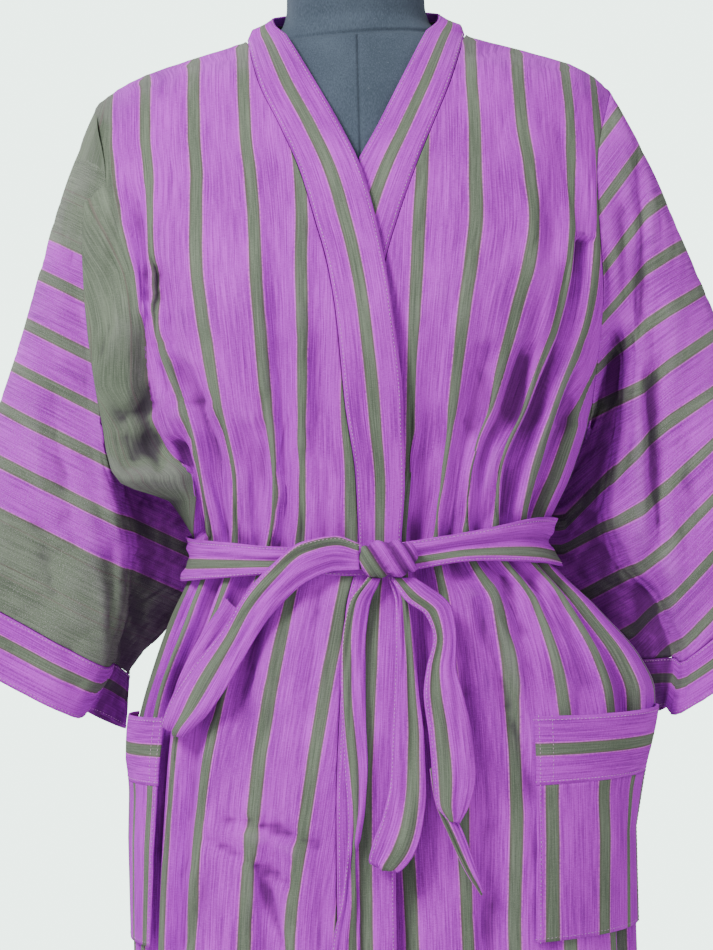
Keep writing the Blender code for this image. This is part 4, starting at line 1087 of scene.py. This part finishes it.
def sleeve_grid(side, ways, count=112):
    turns = np.linspace(0, 1, count + 1)
    grid = np.array([sleeve_ring(side, way, turns) for way in ways])
    grid[:, -1] = grid[:, 0]
    centre = grid[:, :-1].mean(axis=1, keepdims=True)
    out = normals_of(grid, grid - centre)
    field = crease_field(grid[..., 0], grid[..., 2], from_picture(SLEEVE_CREASES[side]))
    mirrored = [(-x0, z0, -x1, z1, w, d) for x0, z0, x1, z1, w, d in
                from_picture(SLEEVE_CREASES["left" if side == "right" else "right"])]
    behind = crease_field(grid[..., 0], grid[..., 2], mirrored)
    front_share = np.clip(-out[..., 1] * 1.4, 0, 1)
    back_share = np.clip(out[..., 1] * 1.4, 0, 1)
    calm = smooth_step(np.asarray(ways) / 0.06)[:, None]
    round_way = np.broadcast_to(0.60 * np.abs(turns - 0.5)[None, :], grid.shape[:2])
    down = np.broadcast_to(0.5 * np.asarray(ways)[:, None], grid.shape[:2])
    fine = wrinkles(round_way, down, 0.036, 0.075, 0.0022, 21.0 if side == "right" else 31.0)
    moved = grid + out * ((field * front_share + behind * back_share + fine) * calm)[..., None]
    moved[:, -1] = moved[:, 0]
    return moved, centre


# The sleeves get more pale flecks as painted light, for light showing through them.
SLEEVE_CLOTH = {
    "right": cotton("handloom cotton, right sleeve", wide=[(-0.200, -0.0364), (0.204, 0.300)], backlight_speckle=0.8,
                    only=(-0.030, 0.200)),
    "left": cotton("handloom cotton, left sleeve", backlight_speckle=0.7),
}


def under_arm_painted_shade(ways, turns):
    """How much painted shade each point gets in the fold under the arm, where the cloth is seldom in the light.
    """
    turned = smooth_step((turns - 0.425) / 0.035) * (1 - smooth_step((turns - 0.66) / 0.05))
    return 0.85 * smooth_step(np.asarray(ways) / 0.40)[:, None] * turned[None, :]


sleeve_grids = {}
for side in SLEEVES:
    ways = np.linspace(0, CUFF_WAY - 0.0012, 104)
    grid, centre = sleeve_grid(side, ways)
    places, along = sleeve_place(side, grid[..., 0], grid[..., 2])
    turns = np.linspace(0, 1, grid.shape[1])
    uv = np.stack([places, np.broadcast_to(turns * 0.5, places.shape)], axis=-1)
    sleeve_grids[side] = grid
    # The sleeve's fold under the arm gets extra painted shade.
    piece = cloth_piece("cloth_sleeve_" + side, grid, uv, SLEEVE_CLOTH[side], ["sleeve_" + side], closed=True,
                        outward=grid - centre, deep=under_arm_painted_shade(ways, turns))
    lay_flat(grid, ["cloth_front_" + side])

# %% [markdown]
# Each cuff is a strip sewn to the sleeve's end, with its own green stripe along the middle. Its flat
# place is simply the distance from the cuff's seam.

# %% Cuffs
cuff_grids = {}
for side in SLEEVES:
    ways = np.linspace(CUFF_WAY + 0.0012, 1.0, 22)
    grid, centre = sleeve_grid(side, ways)
    turns = np.linspace(0, 1, grid.shape[1])
    across = (np.linspace(0, 1, len(ways)) - 0.44) * 0.0556
    uv = np.stack([np.repeat(across[:, None], grid.shape[1], axis=1),
                   np.repeat(turns[None, :] * 0.36, len(ways), axis=0)], axis=-1)
    cuff_grids[side] = grid
    # The cuff's part under the arm gets extra painted shade.
    piece = cloth_piece("cloth_cuff_" + side, grid, uv, PLAIN, ["cuff_" + side], closed=True, thick=DOUBLE,
                        outward=grid - centre, deep=under_arm_painted_shade(ways, turns))
    lay_flat(grid, ["cloth_sleeve_" + side])

# %% [markdown]
# The patch pockets sit on the skirt at the sides. Each has a band along its mouth with the stripe lying
# level, and a body whose stripes stand upright. Heavy use pulls the mouth open, so it stands away from
# the skirt in the middle.

# %% Pockets
POCKETS = {
    "right": {"start": 0.140, "width": 0.150, "top": 0.860, "low": 0.664, "gape": 0.010},
    "left": {"start": 0.099, "width": 0.148, "top": 0.857, "low": 0.668, "gape": 0.016},
}
POCKET_BAND = 0.058
POCKET_OUT = 2.6 * MM


def pocket_grid(front, plan, z_values, columns=48):
    rows = []
    for z in z_values:
        cloth_end = front.marks(z)[0][-1] - 0.006
        share = np.linspace(0, 1, columns)
        u = plan["start"] + (min(plan["start"] + plan["width"], cloth_end) - plan["start"]) * share
        open_share = smooth_step((z - plan["top"] + 0.075) / 0.075)
        bulge = plan["gape"] * open_share * np.sin(np.pi * share).clip(0) ** 0.7
        rows.append(front.between(z, u, POCKET_OUT + bulge))
    return np.array(rows)


pocket_grids = {}
for side, front in (("right", OVER_FRONT), ("left", UNDER_FRONT)):
    plan = POCKETS[side]
    seam = plan["top"] - POCKET_BAND
    low = pocket_grid(front, plan, np.linspace(plan["low"], seam - SEAM_GAP, 44))
    across = np.linspace(0, plan["width"], low.shape[1])
    uv = np.stack([np.repeat(across[None, :] - 0.012, len(low), axis=0),
                   np.repeat(lengths_down(low)[:, None], low.shape[1], axis=1)], axis=-1)
    piece = cloth_piece("cloth_pocket_" + side, low, uv, BODY_CLOTH, ["pocket_" + side])
    lay_flat(low, ["cloth_front_" + side])
    high = pocket_grid(front, plan, np.linspace(seam, plan["top"], 20))
    height = np.linspace(0, POCKET_BAND, len(high))
    uv = np.stack([np.repeat((height - 0.030)[:, None], high.shape[1], axis=1),
                   np.repeat(across[None, :], len(high), axis=0)], axis=-1)
    piece = cloth_piece("cloth_pocket_band_" + side, high, uv, PLAIN, ["pocket_band_" + side], thick=DOUBLE)
    lay_flat(high, ["cloth_pocket_" + side])
    pocket_grids[side] = (low, high)

# %% [markdown]
# The sash is a strip folded double, drawn tight. It isn't a smooth hoop: the pull gathers it into two or
# three long pleats that run round with it, and its green stripe wanders between them.

# %% Sash
SASH = np.array([
    [0, 978, 1003], [25, 981, 1004], [50, 978, 1008], [90, 974, 1012], [135, 976, 1018], [180, 980, 1024],
    [225, 982, 1026], [270, 978, 1020], [300, 984, 1022], [330, 988, 1013], [360, 978, 1003],
])
columns = 17
degrees = np.linspace(0, 360, 241)
ring = []
for angle in degrees:
    low, high = (float(ease(SASH[:, 0], SASH[:, i], angle)) * MM for i in (1, 2))
    face = "front" if math.cos(math.radians(angle)) > 1e-9 else "back"
    turn = -math.degrees(math.asin(max(-1.0, min(1.0, math.sin(math.radians(angle))))))
    column = []
    for z in np.linspace(low, high, columns):
        place = np.interp([turn], np.linspace(-90, 90, 361), section(z, face)[2])
        column.append(on_section(z, place, SASH_OUT, face)[0])
    ring.append(column)
grid = np.array(ring)
grid[-1] = grid[0]
out = normals_of(grid, out_of_body(grid))
share = np.linspace(0, 1, columns)[None, :]
sway = degrees[:, None] / 57.3
pleats = (0.0018 * np.sin(2 * np.pi * (share * 1.6 + 0.10 * np.sin(2.0 * sway)))
          + 0.0010 * np.sin(2 * np.pi * (share * 3.1 + 0.2 * np.sin(3.0 * sway + 1.0))))
grid = grid + out * (pleats * np.sin(np.pi * share) ** 0.6)[..., None]
grid[-1] = grid[0]
round_way = np.concatenate([[0], np.cumsum(np.linalg.norm(np.diff(grid[:, 8], axis=0), axis=1))])
centre_share = 0.30 + 0.12 * np.sin(sway + 0.4)
uv = np.stack([(share - centre_share) * 0.042, np.repeat(round_way[:, None], columns, axis=1)], axis=-1)
sash = cloth_piece("cloth_sash", grid, uv, PLAIN, ["sash_waist"], closed=True, thick=1.6 * MM)
lay_flat(grid, ["cloth_front_right", "cloth_back"])
sash_grid = grid

# %% [markdown]
# The bow's loops and tails are strips as well: a table gives each strip's left and right edge and how
# far it stands out from the robe. A soft strip cups across its width, so its middle is pushed out a
# little.

# %% Bow
RIBBONS = {
    "bow_loop_right": [
        (-9.7, 1006, 20, -9.7, 984, 18), (-30, 1013, 19, -28, 984, 14), (-56, 1009, 21, -52, 976, 15),
        (-82, 990, 21, -72, 961, 14), (-106, 966, 20, -88, 944, 13), (-128, 934, 19, -106, 916, 14),
        (-152, 907, 20, -122, 890, 15), (-170, 882, 21, -140, 866, 17), (-178, 862, 20, -156, 852, 18),
        (-180, 856, 15, -162, 846, 14), (-178, 862, 10.5, -158, 852, 9.5), (-166, 894, 9.5, -144, 880, 9),
        (-146, 930, 9.5, -126, 914, 9), (-124, 962, 10.5, -104, 944, 9.5),
    ],
    "bow_tail_right": [
        (-3, 977.9, 17, 8, 976.3, 17), (-19, 955, 9, -2, 955, 13), (-26, 915, 9, -7, 918, 12),
        (-28, 870, 9, -8, 872, 11), (-27, 825, 9, -7, 828, 12), (-25, 793, 9, -10, 790, 12),
        (-24, 768, 9, -15, 765, 13), (-27, 746, 14, -19, 746, 9), (-32, 712, 14, -17, 712, 9),
        (-41, 672, 12, -18, 672, 9), (-46, 620, 11, -20, 620, 9), (-48, 575, 10, -22, 570, 9),
    ],
    "bow_loop_middle": [
        (14, 976.6, 14, 25, 976.6, 14), (20, 955, 9, 31, 955, 9.5), (19, 920, 10, 34, 920, 10),
        (16, 880, 11, 37, 880, 12), (13, 840, 12, 40, 842, 14), (10, 806, 12, 40, 805, 16),
        (4, 780, 13, 37, 775, 18), (-4, 760, 15, 29, 750, 20), (-8, 746, 17, 16, 736, 20),
        (-4, 740, 12, 14, 736, 13),
    ],
    "bow_loop_left": [
        (16, 976.2, 17, 36, 976.2, 16), (28, 958, 19, 48, 968, 18), (44, 945, 19, 66, 950, 20),
        (50, 926, 18, 69, 924, 21), (44, 902, 17, 68, 904, 20), (41, 880, 17, 73, 880, 19),
        (44, 848, 16, 79, 850, 18), (46, 815, 14, 82, 815, 17), (48, 790, 12, 77, 790, 15),
        (58, 775, 12, 68, 773, 13),
    ],
    "bow_tail_left": [
        (44, 818, 11.9, 52, 824, 12.2), (48, 790, 8, 58, 794, 8.5), (60, 758, 8, 71, 762, 9),
        (72, 732, 8, 80, 735, 8.5), (84, 712, 8, 87, 714, 8),
    ],
}
# Where across each strip its stripe lies at its start and at its end, and its nominal flat width
STRIPE_SHARES = {
    "bow_loop_right": (0.15, 0.80, 0.040), "bow_tail_right": (0.20, 0.85, 0.030),
    "bow_loop_middle": (0.70, 0.66, 0.030), "bow_loop_left": (0.30, 0.30, 0.034),
    "bow_tail_left": (0.25, 0.25, 0.026),
}


def front_y(x, z):
    px, py, _ = section(z, "front")
    return float(np.interp(x, px, py))


def ribbon_grid(table, columns=25, per_row=10):
    table = np.array(table, dtype=float) * MM
    knots = np.arange(len(table))
    fine = np.linspace(0, len(table) - 1, (len(table) - 1) * per_row + 1)
    values = np.stack([ease(knots, table[:, i], fine) for i in range(6)], axis=-1)
    share = np.linspace(0, 1, columns)
    rows = []
    for xl, zl, dl, xr, zr, dr in values:
        x, z, away = xl + (xr - xl) * share, zl + (zr - zl) * share, dl + (dr - dl) * share
        rows.append([(x[i], front_y(x[i], z[i]) - away[i], z[i]) for i in range(columns)])
    return np.array(rows)


ribbon_grids = {}
for name, table in RIBBONS.items():
    grid = ribbon_grid(table)
    share = np.linspace(0, 1, grid.shape[1])
    width = np.linalg.norm(grid[:, -1] - grid[:, 0], axis=1)
    out = normals_of(grid, np.broadcast_to(np.array([0.0, -1.0, 0.0]), grid.shape))
    way = lengths_down(grid)
    cup = 0.0018 * np.sin(np.pi * share)[None, :] * smooth_step(way / 0.02)[:, None]
    sway = 0.35 * np.sin(way * 21.0 + len(name))[:, None]
    cup = cup + 0.0013 * np.sin(2 * np.pi * (share[None, :] * 1.7 + sway))
    cup = cup + 0.0007 * np.sin(2 * np.pi * (share[None, :] * 3.4 - 1.3 * sway) + 1.0)
    ends = smooth_step(way / 0.015) * smooth_step((way[-1] - way) / 0.01 + 0.2)
    grid = grid + out * (cup * ends[:, None])[..., None]
    ribbon_grids[name] = grid
    start, finish, flat_width = STRIPE_SHARES[name]
    centre = start + (finish - start) * smooth_step(way / way[-1])
    uv = np.stack([(share[None, :] - centre[:, None]) * flat_width,
                   np.repeat(way[:, None], len(share), axis=1)], axis=-1)
    piece = cloth_piece("cloth_" + name, grid, uv, PLAIN, [name], thick=1.4 * MM, offset=0.0,
                        outward=np.broadcast_to(np.array([0.0, -1.0, 0.0]), grid.shape))
    lay_flat(grid, ["cloth_knot"])

# %% [markdown]
# The knot is the sash wrapped once over itself and pulled tight. One squarish roll gives its bulk; deep
# slanting grooves across its face mark the edges of the wrapped turns.

# %% Knot
KNOT_X, KNOT_Z, KNOT_DEEP = (-9.6, 39.6), (976.8, 1008.5), 24.0
middle = np.array([sum(KNOT_X) / 2, 0.0, sum(KNOT_Z) / 2]) * MM
half = np.array([(KNOT_X[1] - KNOT_X[0]) / 2, KNOT_DEEP / 2, (KNOT_Z[1] - KNOT_Z[0]) / 2]) * MM
power = 2 / 3.2
leans = np.radians(np.linspace(-84, 84, 61))
angles = np.radians(np.linspace(0, 360, 97))
rings = []
for lean in leans:
    a = np.sign(np.cos(angles)) * np.abs(np.cos(angles)) ** power
    b = np.sign(np.sin(angles)) * np.abs(np.sin(angles)) ** power
    c = abs(math.cos(lean)) ** power
    x = middle[0] + half[0] * math.copysign(abs(math.sin(lean)) ** power, lean)
    y = front_y(x, middle[2]) - SASH_OUT - 0.8 * MM - half[1] * (1 + c * a)
    rings.append(np.stack([np.full_like(y, x), y, middle[2] + half[2] * c * b], axis=-1))
grid = np.array(rings)
centre = grid[:, :-1].mean(axis=1, keepdims=True)
out = normals_of(grid, grid - centre)
slant = (grid[..., 0] - middle[0]) * 0.86 + (grid[..., 2] - middle[2]) * 0.52
grooves = -0.0030 * np.exp(-((slant + 0.008) / 0.0018) ** 2) - 0.0034 * np.exp(-((slant - 0.007) / 0.0020) ** 2)
grooves = grooves - 0.0022 * np.exp(-((slant - 0.019) / 0.0016) ** 2) - 0.0009 * (1 - np.cos(slant * 900.0)) * 0.5
grid = grid + out * grooves[..., None]
grid[:, -1] = grid[:, 0]
uv = np.stack([slant * 0.9 + 0.014, grid[..., 2] - 0.5 * grid[..., 0]], axis=-1)
rows, count = grid.shape[:2]
faces = [(r * count + c, r * count + c + 1, (r + 1) * count + c + 1, (r + 1) * count + c)
         for r in range(rows - 1) for c in range(count - 1)]
faces += [tuple(range(count - 1)), tuple(range(rows * count - 2, (rows - 1) * count - 1, -1))]
knot_mesh = bpy.data.meshes.new("cloth_knot")
knot_mesh.from_pydata(grid.reshape(-1, 3).tolist(), [], faces)
layer = knot_mesh.uv_layers.new(name="cloth")
index = np.empty(len(knot_mesh.loops), dtype=np.int32)
knot_mesh.loops.foreach_get("vertex_index", index)
layer.data.foreach_set("uv", uv.reshape(-1, 2)[index].ravel())
# Painted shade: the knot's grooves are darkened, the deeper the darker.
worn = knot_mesh.attributes.new("worn", "FLOAT", "POINT")
worn.data.foreach_set("value", np.clip(-grooves / 0.0022, 0.0, 1.0).ravel().astype(np.float32))
knot_mesh.materials.append(PLAIN)
knot = bpy.data.objects.new("cloth_knot", knot_mesh)
bpy.context.scene.collection.objects.link(knot)
weld = knot.modifiers.new("close", "WELD")
weld.merge_threshold = 0.00002
bpy.context.view_layer.update()
closed_mesh = bpy.data.meshes.new_from_object(knot.evaluated_get(bpy.context.evaluated_depsgraph_get()))
knot.modifiers.clear()
knot.data = closed_mesh
shape = bmesh.new()
shape.from_mesh(closed_mesh)
bmesh.ops.recalc_face_normals(shape, faces=shape.faces)
shape.to_mesh(closed_mesh)
shape.free()
closed_mesh.shade_smooth()
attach(knot, "root")
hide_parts("sash_knot")
print("knot", len(closed_mesh.polygons), "faces")

# %% [markdown]
# The dress form is a smooth padded shell under jersey. Two seams show: one round the base of the neck and
# one down the middle of the chest. They are pressed into the surface as narrow grooves.

# %% Dress form
turns = np.radians(np.unique(np.concatenate([np.linspace(0, 360, 121), np.linspace(0, 3, 25),
                                             np.linspace(357, 360, 25)])))
heights = np.unique(np.concatenate([np.linspace(0.80, 1.36, 60), np.linspace(1.36, 1.53, 90),
                                    np.linspace(1.436, 1.453, 34)]))
rows = []
for z in heights:
    half_width, front, behind = (float(ease(FORM[:, 0], FORM[:, i], z)) for i in (1, 2, 3))
    x = half_width * np.sign(np.sin(turns)) * np.abs(np.sin(turns)) ** (2 / SECTION_POWER)
    y = np.where(np.cos(turns) > 0, -front, behind) * np.abs(np.cos(turns)) ** (2 / SECTION_POWER)
    rows.append(np.stack([x, y, np.full_like(x, z)], axis=-1))
grid = np.array(rows)
centre = grid[:, :-1].mean(axis=1, keepdims=True)
out = normals_of(grid, grid - centre)
neck_seam = 1.4445 + 0.0022 * grid[..., 0] / 0.06
groove = np.exp(-((grid[..., 2] - neck_seam) / 0.0016) ** 2)
middle_seam = np.exp(-((grid[..., 0] - 0.001) / 0.0014) ** 2) * smooth_step((1.4455 - grid[..., 2]) / 0.004)
grid = grid - out * (0.0020 * np.maximum(groove, middle_seam))[..., None]
grid[:, -1] = grid[:, 0]
count = grid.shape[1]
faces = [(r * count + c, r * count + c + 1, (r + 1) * count + c + 1, (r + 1) * count + c)
         for r in range(len(grid) - 1) for c in range(count - 1)]
faces += [tuple(range(count - 1)), tuple(range(len(grid) * count - 2, (len(grid) - 1) * count - 1, -1))]
form_mesh = bpy.data.meshes.new("form_cover")
form_mesh.from_pydata(grid.reshape(-1, 3).tolist(), [], faces)
shape = bmesh.new()
shape.from_mesh(form_mesh)
bmesh.ops.remove_doubles(shape, verts=shape.verts, dist=0.00002)
bmesh.ops.recalc_face_normals(shape, faces=shape.faces)
shape.to_mesh(form_mesh)
shape.free()
form_mesh.materials.append(JERSEY)
form_mesh.shade_smooth()
form_cover = bpy.data.objects.new("form_cover", form_mesh)
bpy.context.scene.collection.objects.link(form_cover)
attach(form_cover, "root")
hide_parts("form_torso")
print("form", len(form_mesh.polygons), "faces")

# %% [markdown]
# Stitches repeat by the thousand, so Geometry Nodes place them. The tree takes a line, puts points along
# it at an even spacing, and stands a small rounded stitch on each, lying along the line. One modifier
# makes each kind of seam; its result is then made a plain mesh.

# %% Stitch tree


def stitch_tree():
    tree = bpy.data.node_groups.new("stitches", "GeometryNodeTree")
    face = tree.interface
    face.new_socket("Geometry", in_out="INPUT", socket_type="NodeSocketGeometry")
    names = {}
    for label, value in (("Spacing", 0.003), ("Stitch length", 0.0020), ("Thread width", 0.0006)):
        socket = face.new_socket(label, in_out="INPUT", socket_type="NodeSocketFloat")
        socket.default_value = value
        names[label] = socket.identifier
    socket = face.new_socket("Thread", in_out="INPUT", socket_type="NodeSocketMaterial")
    names["Thread"] = socket.identifier
    face.new_socket("Geometry", in_out="OUTPUT", socket_type="NodeSocketGeometry")
    nodes, links = tree.nodes, tree.links
    start, end = nodes.new("NodeGroupInput"), nodes.new("NodeGroupOutput")
    curve = nodes.new("GeometryNodeMeshToCurve")
    points = nodes.new("GeometryNodeCurveToPoints")
    points.mode = "LENGTH"
    ball = nodes.new("GeometryNodeMeshIcoSphere")
    ball.inputs["Radius"].default_value = 0.5
    ball.inputs["Subdivisions"].default_value = 1
    jitter = nodes.new("FunctionNodeRandomValue")
    jitter.inputs[2].default_value = 0.8
    jitter.inputs[3].default_value = 1.12
    jitter.inputs["Seed"].default_value = 5
    stretch = nodes.new("ShaderNodeMath")
    stretch.operation = "MULTIPLY"
    size = nodes.new("ShaderNodeCombineXYZ")
    place = nodes.new("GeometryNodeInstanceOnPoints")
    real = nodes.new("GeometryNodeRealizeInstances")
    dye = nodes.new("GeometryNodeSetMaterial")
    links.new(start.outputs["Geometry"], curve.inputs["Mesh"])
    links.new(curve.outputs["Curve"], points.inputs["Curve"])
    links.new(start.outputs["Spacing"], points.inputs["Length"])
    links.new(points.outputs["Points"], place.inputs["Points"])
    links.new(points.outputs["Rotation"], place.inputs["Rotation"])
    links.new(ball.outputs["Mesh"], place.inputs["Instance"])
    links.new(start.outputs["Stitch length"], stretch.inputs[0])
    links.new(jitter.outputs[1], stretch.inputs[1])
    links.new(start.outputs["Thread width"], size.inputs["X"])
    links.new(start.outputs["Thread width"], size.inputs["Y"])
    links.new(stretch.outputs[0], size.inputs["Z"])
    links.new(size.outputs[0], place.inputs["Scale"])
    links.new(place.outputs["Instances"], real.inputs["Geometry"])
    links.new(real.outputs["Geometry"], dye.inputs["Geometry"])
    links.new(start.outputs["Thread"], dye.inputs["Material"])
    links.new(dye.outputs["Geometry"], end.inputs["Geometry"])
    return tree, names


STITCHES, STITCH_NAMES = stitch_tree()


def thread(name, colour):
    g = Graph(name)
    place = g.node("ShaderNodeTexCoord").outputs["Object"]
    twist = g.noise(place, 1800.0, 1.0)
    g.set(Base_Color=g.mix(twist.step(0.3, 0.7), colour, linear(232, 205, 225)), Roughness=0.7 + twist * 0.2)
    return g.material


PINK_THREAD = thread("pink thread", linear(206, 150, 190))
PURPLE_THREAD = thread("purple thread", linear(150, 84, 160))


def sew(name, lines, material, spacing=0.0030, length=0.0020, width=0.0006):
    """One mesh of stitches along several lines of points."""
    points, edges = [], []
    for line in lines:
        first = len(points)
        points += [tuple(p) for p in line]
        edges += [(first + i, first + i + 1) for i in range(len(line) - 1)]
    mesh = bpy.data.meshes.new(name)
    mesh.from_pydata(points, edges, [])
    piece = bpy.data.objects.new(name, mesh)
    bpy.context.scene.collection.objects.link(piece)
    run = piece.modifiers.new("stitches", "NODES")
    run.node_group = STITCHES
    run[STITCH_NAMES["Spacing"]] = spacing
    run[STITCH_NAMES["Stitch length"]] = length
    run[STITCH_NAMES["Thread width"]] = width
    run[STITCH_NAMES["Thread"]] = material
    bpy.context.view_layer.update()
    result = bpy.data.meshes.new_from_object(piece.evaluated_get(bpy.context.evaluated_depsgraph_get()))
    piece.modifiers.clear()
    piece.data = result
    result.name = name
    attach(piece, "root")
    print(name, len(result.polygons), "faces")
    return piece


def line_on(grid, lift, column=None, row=None, share=None, outward=None):
    """A line of points on a grid, just proud of its face."""
    out = normals_of(grid, out_of_body(grid) if outward is None else outward)
    raised = grid + out * lift
    if column is not None:
        return raised[:, column]
    if row is not None:
        return raised[row]
    at = share * (grid.shape[1] - 1)
    k = min(int(at), grid.shape[1] - 2)
    return raised[:, k] * (1 - at + k) + raised[:, k + 1] * (at - k)


# %% [markdown]
# Where the robe is sewn. Running stitches follow both edges of the neckband and hold each cuff, and two
# rows cross each pocket band's end. The hem and the pocket sides are sewn in the ground colour.

# %% Seams
LIFT = 0.00015
band_lines = []
for grid in bands.values():
    band_lines += [line_on(grid, LIFT, share=0.05), line_on(grid, LIFT, share=0.94)]
sew("stitches_band", band_lines, PINK_THREAD, spacing=0.0034, width=0.0005)
cuff_lines = []
for side, grid in cuff_grids.items():
    centre = grid[:, :-1].mean(axis=1, keepdims=True)
    cuff_lines += [line_on(grid, LIFT, row=1, outward=grid - centre),
                   line_on(grid, LIFT, row=-2, outward=grid - centre)]
sew("stitches_cuffs", cuff_lines, PINK_THREAD, spacing=0.0034, width=0.0005)
pocket_lines, side_lines = [], []
for side, (low, high) in pocket_grids.items():
    pocket_lines += [line_on(high, LIFT, column=1), line_on(high, LIFT, column=4), line_on(high, LIFT, row=1),
                     line_on(high, LIFT, row=-2)]
    side_lines += [line_on(low, LIFT, column=1), line_on(low, LIFT, column=-2), line_on(low, LIFT, row=1)]
sew("stitches_pocket_bands", pocket_lines, PINK_THREAD, spacing=0.0034, width=0.0005)
hem_lines = [line_on(grid, LIFT, row=2) for grid in panels.values()]
sew("stitches_hem_and_pockets", hem_lines + side_lines, PURPLE_THREAD, spacing=0.0036, width=0.0005)
sash_lines = [line_on(sash_grid, LIFT, share=0.06), line_on(sash_grid, LIFT, share=0.93)]
for name in ("bow_loop_right", "bow_tail_right", "bow_loop_middle", "bow_loop_left"):
    grid = ribbon_grids[name]
    toward = np.broadcast_to(np.array([0.0, -1.0, 0.0]), grid.shape)
    sash_lines.append(line_on(grid, 0.00085, share=0.07, outward=toward))
sew("stitches_sash", sash_lines, PINK_THREAD, spacing=0.0034, width=0.0005)

# %% [markdown]
# The floor is one large plain disc; unlike the robe's pieces, it is not attached to the root.

# %% Floor
floor_mesh = bpy.data.meshes.new("floor")
around = np.radians(np.arange(0, 360, 4))
floor_mesh.from_pydata([(2.9 * math.cos(a), 2.9 * math.sin(a), -0.0005) for a in around], [],
                       [tuple(range(len(around)))])
floor = bpy.data.objects.new("floor", floor_mesh)
bpy.context.scene.collection.objects.link(floor)
ground = Graph("pale floor")
speck = ground.noise(ground.node("ShaderNodeTexCoord").outputs["Object"], 9.0, 3.0)
ground.set(Base_Color=ground.mix(speck, linear(226, 230, 228), linear(234, 236, 233)), Roughness=0.75)
floor_mesh.materials.append(ground.material)
